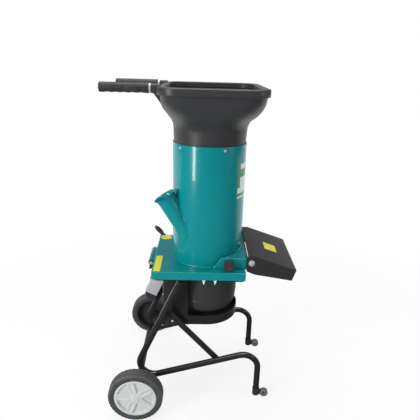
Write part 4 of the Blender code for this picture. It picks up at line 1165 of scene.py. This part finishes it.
def make_guard():
    """A sheet wall round the motor: a section carried round a plan of an arc, sides and cut corners.

    P = (plan at the section's inset, edge height + the section's height). Its top steps down to a low band
    in front, and its bottom climbs along a line at the rear. A dark rubber ring closes the gap inside its
    foot; it is partly painted shade, a dark piece standing in for the shade under the motor's bowl.
    """
    low, high = box("motor_guard")
    radius = high[1]
    window = DRUM_X + WINDOW_REAR
    shoulder = 0.0957
    climb_from, climb_to, climb_end = 0.270, 0.3990, 0.180
    turn = np.radians(np.linspace(-90, 90, 81))

    def plan(inset):
        r = radius - inset
        arc = np.column_stack([DRUM_X + r * np.cos(turn), r * np.sin(turn)])
        marks = np.array((window + 0.0001, window - 0.0001, DRUM_X - shoulder))
        side = np.column_stack([marks, np.full(3, r)])
        nose = (DRUM_X - 0.122 + 0.4 * inset, r)
        tail = (low[0] + inset, 0.080 - 0.4 * inset)
        bend = eased([side[-1], nose, tail, (low[0] + inset, 0)], (0, 0.007, 0.007, 0), 7, False)[7:-7]
        left = np.concatenate([side, bend])
        return np.concatenate([arc, left, left[::-1] * (1, -1)])

    ease = 0.0005
    corners = eased([(0, -0.01), (0, 0), (SHEET, 0), (SHEET, -0.01)], (0, ease, ease, 0), 4, False)[4:-4]
    outer = plan(0)
    top = np.where(outer[:, 0] > window, WINDOW_SILL, high[2])
    steep = (climb_to - climb_from) / (climb_end - shoulder)
    line = climb_from + (DRUM_X - shoulder - outer[:, 0]) * steep
    bottom = np.maximum(low[2], line)
    rows = [np.column_stack([plan(inset), top + rise]) for inset, rise in corners]
    rows += [np.column_stack([plan(inset), bottom - rise]) for inset, rise in corners[::-1]]
    guard = skin("guard_wall", np.array(rows), wrap_rows=True)
    bolt = middle("guard_bolt_right")
    rod = oblong((0, BOLT_BORE), (-0.2, 0.2))
    carve(guard, turned("guard_bores", rod, bolt * (1, 0, 1), LEFT, 32))
    settle(guard, "chassis", *ENAMEL, "motor_guard")
    # Partly painted shade: a dark rubber ring that also stands in for the shade under the motor's bowl.
    floor = oblong((0.024, radius - SHEET - 0.0002), (low[2] + 0.0006, low[2] + 0.0021))
    shade_ring = turned("guard_shade_ring", eased(floor, 0.0005), AXIS, UP, 128)
    settle(shade_ring, "chassis", *RUBBER)


def make_motor_cover():
    """A moulded bowl with a step near its top, turned from one profile, with an air hole below."""
    low, high = box("motor_cover")
    top = high[2]
    hole = 0.030
    outside = [(high[1], top), (0.1125, 0.378), (0.1095, 0.3745), (0.1115, 0.370)]
    outside += [(0.1085, 0.345), (0.0985, 0.326), (0.076, 0.313), (hole, low[2])]
    inside = [(hole, 0.309), (0.074, 0.3155), (0.096, 0.328), (0.106, 0.346), (0.107, 0.371), (0.111, top)]
    reach = [0.0008, 0.0016, 0.0016, 0.0016, 0.010, 0.009, 0.011, 0.001]
    reach += [0.001, 0.012, 0.009, 0.010, 0.004, 0.0008]
    profile = eased(outside + inside, reach, 8)
    bowl = turned("motor_bowl", profile, AXIS, UP, 144, sharp=50)
    settle(bowl, "chassis", *MOULDING, "motor_cover")


# CAD nodes that keep their shape: node, slot, finish and how far the edges are eased.
CHASSIS_PARTS = (
    ("base_plate", *ENAMEL, 0.0005),
    ("brace_right", *ENAMEL, 0.0005),
    ("brace_left", *ENAMEL, 0.0005),
    ("rest_buffer_right", *RUBBER, 0.0008),
    ("rest_buffer_left", *RUBBER, 0.0008),
    ("switch_box", "grey_plastic", "grey moulding", 0.0018),
    ("power_inlet", *MOULDING, 0.0006),
    ("end_shield_top", *CAST, 0.0),
    ("end_shield_bottom", *CAST, 0.0),
    ("bearing_top", *STEEL, 0.0),
    ("bearing_bottom", *STEEL, 0.0),
    ("stator", *LAMINATED, 0.0),
    ("run_capacitor", *CAST, 0.0006),
)
ROTOR_PARTS = (
    ("motor_shaft", *STEEL, 0.0),
    ("rotor_core", *LAMINATED, 0.0),
    ("cooling_fan", *MOULDING, 0.0),
    ("blade_disc", *STEEL, 0.0004),
    ("chipper_blade_1", *STEEL, 0.0002),
    ("chipper_blade_2", *STEEL, 0.0002),
    ("disc_nut", "tool_steel", "zinc plate", 0.0004),
)
HOUSING_PARTS = (
    ("counter_blade", *STEEL, 0.0002),
    ("lip_clip_1", *CLIP, 0.0007),
    ("lip_clip_2", *CLIP, 0.0007),
)


def refine_all(body, parts):
    """Makes the refined pieces of a table, all on one body."""
    for node, slot, finish, ease in parts:
        refined(node, body, slot, finish, ease)


def make_frame_tubes():
    """Each side is one tube: a circle carried along the leg, a bend, the rail, a bend and the foot.

    A short bead joins the brace's front end to the rail and its rear end to the leg.
    """
    rail_run = np.array((0.028, 0, 0.008))
    leg_run = np.array(LEG_SLOPE) * 0.024
    for name, side in SIDES.items():
        low, high = box(f"frame_tube_{name}")
        radius = (high[1] - low[1]) / 2
        y = (high[1] + low[1]) / 2
        leg_top = (DRUM_X - 0.090, 0.4785)
        rear = (DRUM_X - 0.278, 0.0625)
        front = (high[0] - radius, 0.1991)
        path = bent([leg_top, rear, front, (front[0], low[2])], (0.052, 0.055), 22)
        path = np.insert(path, 1, y, axis=1)
        tube = carried(f"frame_pipe_{name}", path, circle(radius, 32), LEFT)
        settle(tube, "chassis", *ENAMEL, f"frame_tube_{name}")
        low, high = box(f"brace_{name}")
        bead_radius = 0.0016
        y = middle(f"brace_{name}")[1] + side * bead_radius
        seams = ((high[0] - 0.011, low[2] + 0.004, rail_run), (low[0] + 0.011, high[2] - 0.004, leg_run))
        for i, (x, z, run) in enumerate(seams):
            seam = np.array((x, y, z)) + np.linspace(-0.5, 0.5, 30)[:, None] * run
            label = f"brace_weld_{name}_{i + 1}"
            weld = carried(label, seam, circle(bead_radius, 10), LEFT, scale=swell(30))
            settle(weld, "chassis", *ENAMEL)


def swell(count):
    """A bead's size along its run: small at both ends, with a ripple between."""
    t = np.linspace(0, 1, count)
    return np.sqrt(np.clip(np.sin(np.pi * t), 0.08, 1)) * (1 + 0.12 * np.sin(TURN * 7 * t))


def make_axle():
    """A round bar with eased ends."""
    low, high = box("wheel_axle")
    corners = oblong((0, (high[0] - low[0]) / 2), (low[1], high[1]))
    profile = eased(corners, 0.0012, 5, False)
    bar = turned("axle_bar", profile, middle("wheel_axle") * (1, 0, 1), LEFT, 48)
    settle(bar, "chassis", *ENAMEL, "wheel_axle")


def make_feet():
    """A moulded cup on each tube's end, a block, and a thick eye in front that stands on the floor."""
    cup = 0.0129
    bore = 0.0113
    eye = 0.0148
    for name in SIDES:
        low, high = box(f"foot_{name}")
        y = (low[1] + high[1]) / 2
        x = low[0] + cup
        corners = [(0, 0.007), (0.0125, 0.007), (cup, 0.036), (bore, 0.036), (bore, 0.0093), (0, 0.0093)]
        profile = eased(corners, (0, 0.0025, 0.0006, 0.0005, 0.0005, 0), 6, False)
        foot = turned(f"foot_cup_{name}", profile, (x, y, 0), UP, 56)
        settle(foot, "chassis", "soft_rubber", "foot rubber", f"foot_{name}")
        centre = (high[0] - eye, y - 0.008, eye)
        ring = eased(oblong((0.006, eye), (0, 0.016)), 0.0016, 6)
        ring = turned(f"foot_eye_{name}", ring, centre, LEFT, 56)
        settle(ring, "chassis", "soft_rubber", "foot eye")
        block = oblong((x + 0.0112, centre[0] - 0.008), (0.0085, 0.0255))
        block = plate(f"foot_block_{name}", block, "Y", y - 0.006, y + 0.006, 0.0009, 3)
        settle(block, "chassis", "soft_rubber", "foot rubber")


def make_buttons():
    """A round button on a flange, turned from one profile whose face is dished 1.4 mm inside its rim."""
    flange, radius = 0.0115, 0.0095
    corners = [(0, -0.0095), (flange, -0.0095), (flange, -0.0029), (radius, -0.0029), (radius, 0.0062)]
    corners += [(0.0075, 0.0066), (0.0001, 0.0052), (0, 0.0052)]
    profile = eased(corners, (0, 0.0006, 0.0004, 0.0004, 0.0012, 0.0008, 0, 0), 5, False)
    for name, colour in (("start", "green"), ("stop", "red")):
        face = middle(f"{name}_button") + (-0.0022, 0, 0.0018)
        button = turned(f"{name}_cap", profile, face, LEG_OUT, 56)
        settle(button, name, f"{colour}_plastic", f"{colour} moulding", f"{name}_button")


# ---- Wheels ----


def make_tyre(name, side):
    """A grooved tread with notched shoulders: the radius drops by 1.6 mm in each of 40 notches."""
    low, high = box(f"tyre_{name}")
    radius = (high[2] - low[2]) / 2
    wide = high[1] - low[1]
    notches, notch_depth = 40, 0.0016
    centre = ((low[0] + high[0]) / 2, side * TYRE_INNER, (low[2] + high[2]) / 2)
    deep = radius - sizes().groove
    half = [(0.0723, 0.0025), (0.0770, 0.0006), (0.0860, 0.0), (0.0915, 0.0018)]
    half += [(radius, 0.0055), (radius, 0.0098), (deep, 0.0106), (deep, 0.0136)]
    half += [(radius, 0.0144), (radius, 0.0200), (deep, 0.0208)]
    corners = half + [(r, wide - d) for r, d in half[::-1]]
    reach = [0.0008, 0.003, 0.004, 0.003, 0.002] + 6 * [0.0005]
    profile = eased(corners, reach + reach[::-1], 5)

    def notched(r, d, a):
        edge = np.minimum(d, wide - d)
        mask = step_up(0.0080 - edge, 0, 0.0008) * step_up(r, 0.0885, 0.0900)
        wave = step_up(np.cos(notches * a), 0.2, 0.75)
        return r - notch_depth * mask * wave, d

    tyre = turned(f"tyre_tread_{name}", profile, centre, (0, side, 0), 400, notched, sharp=45)
    settle(tyre, f"{name}_wheel", "tyre_rubber", f"tyre rubber {name}", f"tyre_{name}")


def spoke_angles(radius):
    """Angles whose columns run along each spoke's edges: asin(l/r) for distances l from its middle line."""
    marks = np.array((0.0, 0.0030, 0.0045, 0.0060, 0.0112, 0.0119, 0.0126, 0.0134))
    share = np.linspace(0, 1, 14)[1:]
    near = np.arcsin(marks / np.maximum(radius, POCKET_START)[:, None])
    far = near[:, -1:] + share * (np.pi / SPOKES - near[:, -1:])
    half = np.concatenate([near, far], axis=1)
    sector = np.concatenate([-half[:, :0:-1], half], axis=1)[:, :-1]
    spokes = np.arange(SPOKES)[None, :, None] * TURN / SPOKES
    return (sector[:, None, :] + spokes).reshape(len(radius), -1) + SPOKE_TURN


def make_wheel(name, side):
    """A disc whose face drops into five pockets between spokes: d = front - depth * mask(r, l), where l is
    the distance from the nearest spoke's middle line."""
    low, high = box(f"wheel_{name}")
    tyre_low, tyre_high = box(f"tyre_{name}")
    wide = tyre_high[1] - tyre_low[1]
    radius = (high[2] - low[2]) / 2
    centre = ((low[0] + high[0]) / 2, side * TYRE_INNER, (low[2] + high[2]) / 2)
    face = [0.0185, 0.0192, 0.0200, 0.0208]
    face += [*np.linspace(0.0225, 0.0585, 19), *np.linspace(0.0595, 0.0635, 6)]
    hub = [(0, wide - 0.001), (0.0125, wide - 0.001), (0.0155, wide - 0.0035), (0.0172, wide - 0.0035)]
    hub = eased(hub, 0.0012, 4, False)
    front = np.column_stack([face, np.full(len(face), wide - 0.003)])
    well, web, boss, bore, bore_end = 0.067, wide - 0.0155, 0.0155, 0.0103, 0.0385
    rim = [(0.0650, wide - 0.002), (radius, wide - 0.002), (radius, 0.002), (well, 0.002), (well, web)]
    rim += [(boss, web), (boss, 0.0005), (bore, 0.0005), (bore, bore_end), (0, bore_end)]
    rim = eased(rim, (0.001, 0.0008, 0.0008, 0.0006, 0.0006, 0.0006, 0.0006, 0.0003, 0.0003, 0), 4, False)
    profile = np.concatenate([hub, front, rim])
    angles = spoke_angles(profile[:, 0])

    pocket_depth, channel_depth = 0.0055, 0.0014

    def pockets(r, d, a):
        sector = np.mod(a - SPOKE_TURN + np.pi / SPOKES, TURN / SPOKES) - np.pi / SPOKES
        aside = np.abs(np.sin(sector)) * np.maximum(r, POCKET_START)
        zone = (d > wide - 0.0045) & (r > 0.0175)
        between = step_up(r, 0.0222, POCKET_START) * step_up(0.0632 - r, 0, 0.0020)
        floor = between * step_up(aside, 0.0114, 0.0131)
        along = step_up(r, 0.0230, 0.0265) * step_up(0.0590 - r, 0, 0.003)
        channel = along * step_up(0.0052 - aside, 0, 0.0015)
        return r, d - zone * (pocket_depth * floor + channel_depth * channel)

    wheel = turned(f"wheel_disc_{name}", profile, centre, (0, side, 0), angles, pockets, sharp=40)
    settle(wheel, f"{name}_wheel", "pale_grey_plastic", "pale moulding", f"wheel_{name}")


# ---- Patches ----


def patch(name, outline, place, body, finish):
    """A thin closed patch: its outline shrinks to the middle on top and below, P = place(u, v, lift)."""
    outline = np.asarray(outline, float)
    centre = outline.mean(axis=0)
    shares = np.linspace(0, 1, 12)
    rows = []
    for lift, order in ((0.0001, shares), (sizes().patch, shares[::-1])):
        rows += [place(*(centre + share * (outline - centre)).T, lift) for share in order]
    settle(skin(name, np.array(rows), sharp=40), body, "pale_grey_plastic", finish)


def make_patches():
    """Plain patches: a rectangle and a disc on the deck, a rectangle on the hood and a panel on the drum."""
    top = box("deck")[1][2]

    def on_deck(u, v, lift):
        return np.column_stack([u, v, np.full(len(u), top + lift)])

    strip = rounded((-0.168, -0.145), (-0.157, -0.036), 0.0015, 5, 8)
    patch("deck_patch_long", strip, on_deck, "housing", "yellow vinyl")
    disc = circle(0.0222, 64) + (-0.148, 0.138)
    patch("deck_patch_round", disc, on_deck, "housing", "yellow vinyl")
    high = box("discharge_hood")[1]
    start = np.array((high[0] - HOOD_RIDGE, 0, high[2]))
    along = unit(np.array((high[0], 0, HOOD_LIP_Z)) - start)
    out = np.array((-along[2], 0, along[0]))

    def on_slope(u, v, lift):
        return start + u[:, None] * along + v[:, None] * LEFT + lift * out

    square = rounded((0.050, 0.098), (-0.034, 0.026), 0.003, 6, 10)
    patch("hood_patch", square, on_slope, "hood", "yellow vinyl")

    def on_drum(u, v, lift):
        angle = u / DRUM_R
        radius = DRUM_R + lift
        return np.column_stack([DRUM_X + radius * np.cos(angle), radius * np.sin(angle), v])

    reach = DRUM_R * PANEL_ANGLE
    panel = rounded((-reach, reach), PANEL_HEIGHTS, 0.004, 8, 24)
    patch("side_panel", panel, on_drum, "housing", "side panel")


# ---- Finishes and stage ----


def make_finishes():
    """One finish for each material of the machine."""
    colours = bpy.context.scene.shredder_colours
    sprayed_paint("teal enamel", colours.teal, 0.24, 0.42, 260, 0.25)
    sprayed_paint("black enamel", colours.black, 0.2, 0.8, 300, 0.12)
    sprayed_paint("satin enamel", tone(52, 51, 52), 0.42, 0.12, 320, 0.12)
    moulded("black moulding", colours.moulding, 0.29, 900)
    moulded("brown cap", tone(70, 36, 34), 0.4, 900)
    moulded("white moulding", tone(225, 232, 236), 0.34, 900, 0.02)
    pale_from = middle("tyre_left")[1] + 0.0085
    wheel_moulding("pale moulding", colours.rim, colours.rubber, pale_from)
    case_foot = 0.1570
    boxed("grey moulding", colours.case, colours.moulding, case_foot)
    moulded("green moulding", tone(30, 140, 62), 0.34, 900, 0.03)
    moulded("red moulding", tone(190, 30, 26), 0.34, 900, 0.03)
    rubbery("soft rubber", colours.rubber, 0.56, 1500, tone(120, 120, 118))
    rubbery("foot rubber", colours.rubber, 0.5, 1100, tone(110, 110, 108))
    moulded("foot eye", tone(112, 112, 114), 0.22, 900)
    for name in SIDES:
        tyre_rubber(f"tyre rubber {name}", colours.tyre, middle(f"tyre_{name}"))
    plated("zinc plate", tone(216, 219, 223), 0.26)
    ground_steel("ground steel", tone(170, 172, 175), 0.26, (40, 1800, 1800))
    cast_metal("cast aluminium", tone(168, 170, 172))
    laminated("laminated steel", tone(120, 118, 116))
    vinyl("yellow vinyl", colours.patch)
    panel_edge = DRUM_R * math.sin(PANEL_ANGLE)
    side_label("side panel", colours.label_pale, colours.label_green, *PANEL_HEIGHTS, panel_edge)


def lamp(name, place, target, size, power):
    """A soft box that faces a point."""
    light = bpy.data.lights.new(name, "AREA")
    light.shape = "RECTANGLE"
    light.size, light.size_y = size
    light.energy = power
    obj = bpy.data.objects.new(name, light)
    obj.location = place
    obj.rotation_euler = (Vector(target) - Vector(place)).to_track_quat("-Z", "Y").to_euler()
    bpy.context.scene.collection.objects.link(obj)


def make_world():
    """White for the camera and even light on the object. Reflections show a dark near side and a white far
    side at the horizon and below, grey above it, and a bright card overhead."""
    world = bpy.data.worlds.new("studio")
    world.use_nodes = True
    nodes = Nodes(world.node_tree)
    facing = nodes.node("ShaderNodeTexCoord", output="Generated")
    leftwards = nodes.node("ShaderNodeSeparateXYZ", None, {0: facing}, 1)
    reflected = nodes.mix(leftwards.ramp(0.35, 0.92), (0.03, 0.03, 0.035), (1.0, 1.0, 1.0))
    upwards = nodes.node("ShaderNodeSeparateXYZ", None, {0: facing}, 2)
    reflected = nodes.mix(upwards.ramp(0.04, 0.30), reflected, (0.24, 0.24, 0.25))
    reflected = nodes.mix(upwards.ramp(0.90, 0.95), reflected, (6.0, 6.0, 6.0))
    shown = nodes.mix(nodes.light_path("Glossy", "Transmission"), (0.42, 0.42, 0.43), reflected)
    shown = nodes.mix(nodes.light_path("Camera"), shown, (1.0, 1.0, 1.0))
    nodes.feed(world.node_tree.nodes["Background"].inputs["Color"], shown)
    bpy.context.scene.world = world


def make_camera():
    """A camera at a standing person's height, turned, tilted and rolled by three angles."""
    camera = bpy.data.cameras.new("camera")
    camera.lens = 36.6
    camera.sensor_width = 36.0
    turn, down, roll = (math.radians(a) for a in (1.15, 19.1, 1.6))
    ahead = Vector((math.sin(turn) * math.cos(down), math.cos(turn) * math.cos(down), -math.sin(down)))
    level = Vector((math.cos(turn), -math.sin(turn), 0))
    upright = level.cross(ahead)
    right = level * math.cos(roll) + upright * math.sin(roll)
    above = upright * math.cos(roll) - level * math.sin(roll)
    facing = Matrix((right, above, -ahead)).transposed().to_4x4()
    obj = bpy.data.objects.new("camera", camera)
    obj.matrix_world = Matrix.Translation((-0.008, -1.4445, 1.184)) @ facing
    bpy.context.scene.collection.objects.link(obj)
    bpy.context.scene.camera = obj


def make_stage():
    """A pale floor, soft boxes, the world and the camera."""
    pale_floor("pale floor", (0.85, 0.85, 0.85), 0.84)
    reach = 9.0
    below = -0.0002
    steps = np.linspace(-reach, reach, 13)
    x, y = np.meshgrid(steps, steps)
    points = np.stack([x, y, np.full_like(x, below)], axis=-1)
    floor = skin("floor", points, wrap_columns=False, closed=False)
    floor.data.materials.append(bpy.data.materials["pale floor"])
    lamp("strip box", (-1.59, -1.51, 1.10), (0.0, 0.0, 0.85), (0.35, 1.36), 30)
    lamp("right box", (1.85, -0.75, 1.15), (0.0, 0.0, 0.9), (0.25, 0.35), 4)
    lamp("top box", (0.0, 0.1, 2.6), (0.0, 0.0, 0.6), (2.0, 2.0), 26)
    make_world()
    make_camera()
    bpy.context.scene.view_settings.view_transform = "Standard"


# ---- Add-on ----


class SHREDDER_OT_finishes(bpy.types.Operator):
    """Make the finishes of every piece"""

    bl_idname = "shredder.finishes"
    bl_label = "Finishes"

    def execute(self, context):
        make_finishes()
        return {"FINISHED"}


class SHREDDER_OT_drum(bpy.types.Operator):
    """Make the drum and the branch tube with its weld"""

    bl_idname = "shredder.drum"
    bl_label = "Drum and branch tube"

    def execute(self, context):
        make_drum()
        make_branch_tube()
        return {"FINISHED"}


class SHREDDER_OT_deck(bpy.types.Operator):
    """Make the deck, the discharge channel, the hinge barrel, the clips and the fixed blade"""

    bl_idname = "shredder.deck"
    bl_label = "Deck and channel"

    def execute(self, context):
        make_deck()
        make_channel()
        make_hinge_barrel()
        refine_all("housing", HOUSING_PARTS)
        return {"FINISHED"}


class SHREDDER_OT_hopper(bpy.types.Operator):
    """Make the hopper and its handle arms"""

    bl_idname = "shredder.hopper"
    bl_label = "Hopper"

    def execute(self, context):
        make_hopper()
        return {"FINISHED"}


class SHREDDER_OT_handles(bpy.types.Operator):
    """Make the hand grips and their tubes"""

    bl_idname = "shredder.handles"
    bl_label = "Handles"

    def execute(self, context):
        make_handles()
        return {"FINISHED"}


class SHREDDER_OT_screws(bpy.types.Operator):
    """Make the screws, the pivot bolts, the guard's bolts and the hinge pin"""

    bl_idname = "shredder.screws"
    bl_label = "Screws and bolts"

    def execute(self, context):
        make_screws_and_bolts()
        return {"FINISHED"}


class SHREDDER_OT_hood(bpy.types.Operator):
    """Make the discharge hood"""

    bl_idname = "shredder.hood"
    bl_label = "Hood"

    def execute(self, context):
        make_hood()
        return {"FINISHED"}


class SHREDDER_OT_controls(bpy.types.Operator):
    """Make the lock knob, the catch lever and the two buttons"""

    bl_idname = "shredder.controls"
    bl_label = "Knob, lever and buttons"

    def execute(self, context):
        make_knob()
        make_lever()
        make_buttons()
        return {"FINISHED"}


class SHREDDER_OT_motor(bpy.types.Operator):
    """Make the guard, the motor's cover and the rotor"""

    bl_idname = "shredder.motor"
    bl_label = "Motor"

    def execute(self, context):
        make_guard()
        make_motor_cover()
        refine_all("rotor", ROTOR_PARTS)
        return {"FINISHED"}


class SHREDDER_OT_chassis(bpy.types.Operator):
    """Make the frame tubes, the axle, the base plate, the braces and the parts fixed to them"""

    bl_idname = "shredder.chassis"
    bl_label = "Chassis"

    def execute(self, context):
        make_frame_tubes()
        make_axle()
        refine_all("chassis", CHASSIS_PARTS)
        return {"FINISHED"}


class SHREDDER_OT_feet(bpy.types.Operator):
    """Make the two feet"""

    bl_idname = "shredder.feet"
    bl_label = "Feet"

    def execute(self, context):
        make_feet()
        return {"FINISHED"}


class SHREDDER_OT_wheels(bpy.types.Operator):
    """Make the tyres and the wheels"""

    bl_idname = "shredder.wheels"
    bl_label = "Wheels"

    def execute(self, context):
        for name, side in SIDES.items():
            make_tyre(name, side)
            make_wheel(name, side)
        return {"FINISHED"}


class SHREDDER_OT_patches(bpy.types.Operator):
    """Make the plain vinyl patches"""

    bl_idname = "shredder.patches"
    bl_label = "Patches"

    def execute(self, context):
        make_patches()
        return {"FINISHED"}


class SHREDDER_OT_stage(bpy.types.Operator):
    """Make the floor, the lamps, the world and the camera"""

    bl_idname = "shredder.stage"
    bl_label = "Stage"

    def execute(self, context):
        make_stage()
        return {"FINISHED"}


OPERATORS = (
    SHREDDER_OT_finishes,
    SHREDDER_OT_drum,
    SHREDDER_OT_deck,
    SHREDDER_OT_hopper,
    SHREDDER_OT_handles,
    SHREDDER_OT_screws,
    SHREDDER_OT_hood,
    SHREDDER_OT_controls,
    SHREDDER_OT_motor,
    SHREDDER_OT_chassis,
    SHREDDER_OT_feet,
    SHREDDER_OT_wheels,
    SHREDDER_OT_patches,
    SHREDDER_OT_stage,
)


class SHREDDER_PT_panel(bpy.types.Panel):
    """The shredder's sizes, colours and pieces"""

    bl_idname = "SHREDDER_PT_panel"
    bl_label = "Garden Shredder"
    bl_space_type = "VIEW_3D"
    bl_region_type = "UI"
    bl_category = "Shredder"

    def draw(self, context):
        for group in (context.scene.shredder_sizes, context.scene.shredder_colours):
            column = self.layout.column()
            for name in group.__annotations__:
                column.prop(group, name)
        for operator in OPERATORS:
            self.layout.operator(operator.bl_idname)


CLASSES = (ShredderSizes, ShredderColours, *OPERATORS, SHREDDER_PT_panel)


def register():
    for cls in CLASSES:
        bpy.utils.register_class(cls)
    bpy.types.Scene.shredder_sizes = bpy.props.PointerProperty(type=ShredderSizes)
    bpy.types.Scene.shredder_colours = bpy.props.PointerProperty(type=ShredderColours)


def unregister():
    del bpy.types.Scene.shredder_colours
    del bpy.types.Scene.shredder_sizes
    for cls in reversed(CLASSES):
        bpy.utils.unregister_class(cls)


def main():
    register()
    for operator in OPERATORS:
        getattr(bpy.ops.shredder, operator.bl_idname.split(".")[1])()


if __name__ == "__main__":
    main()
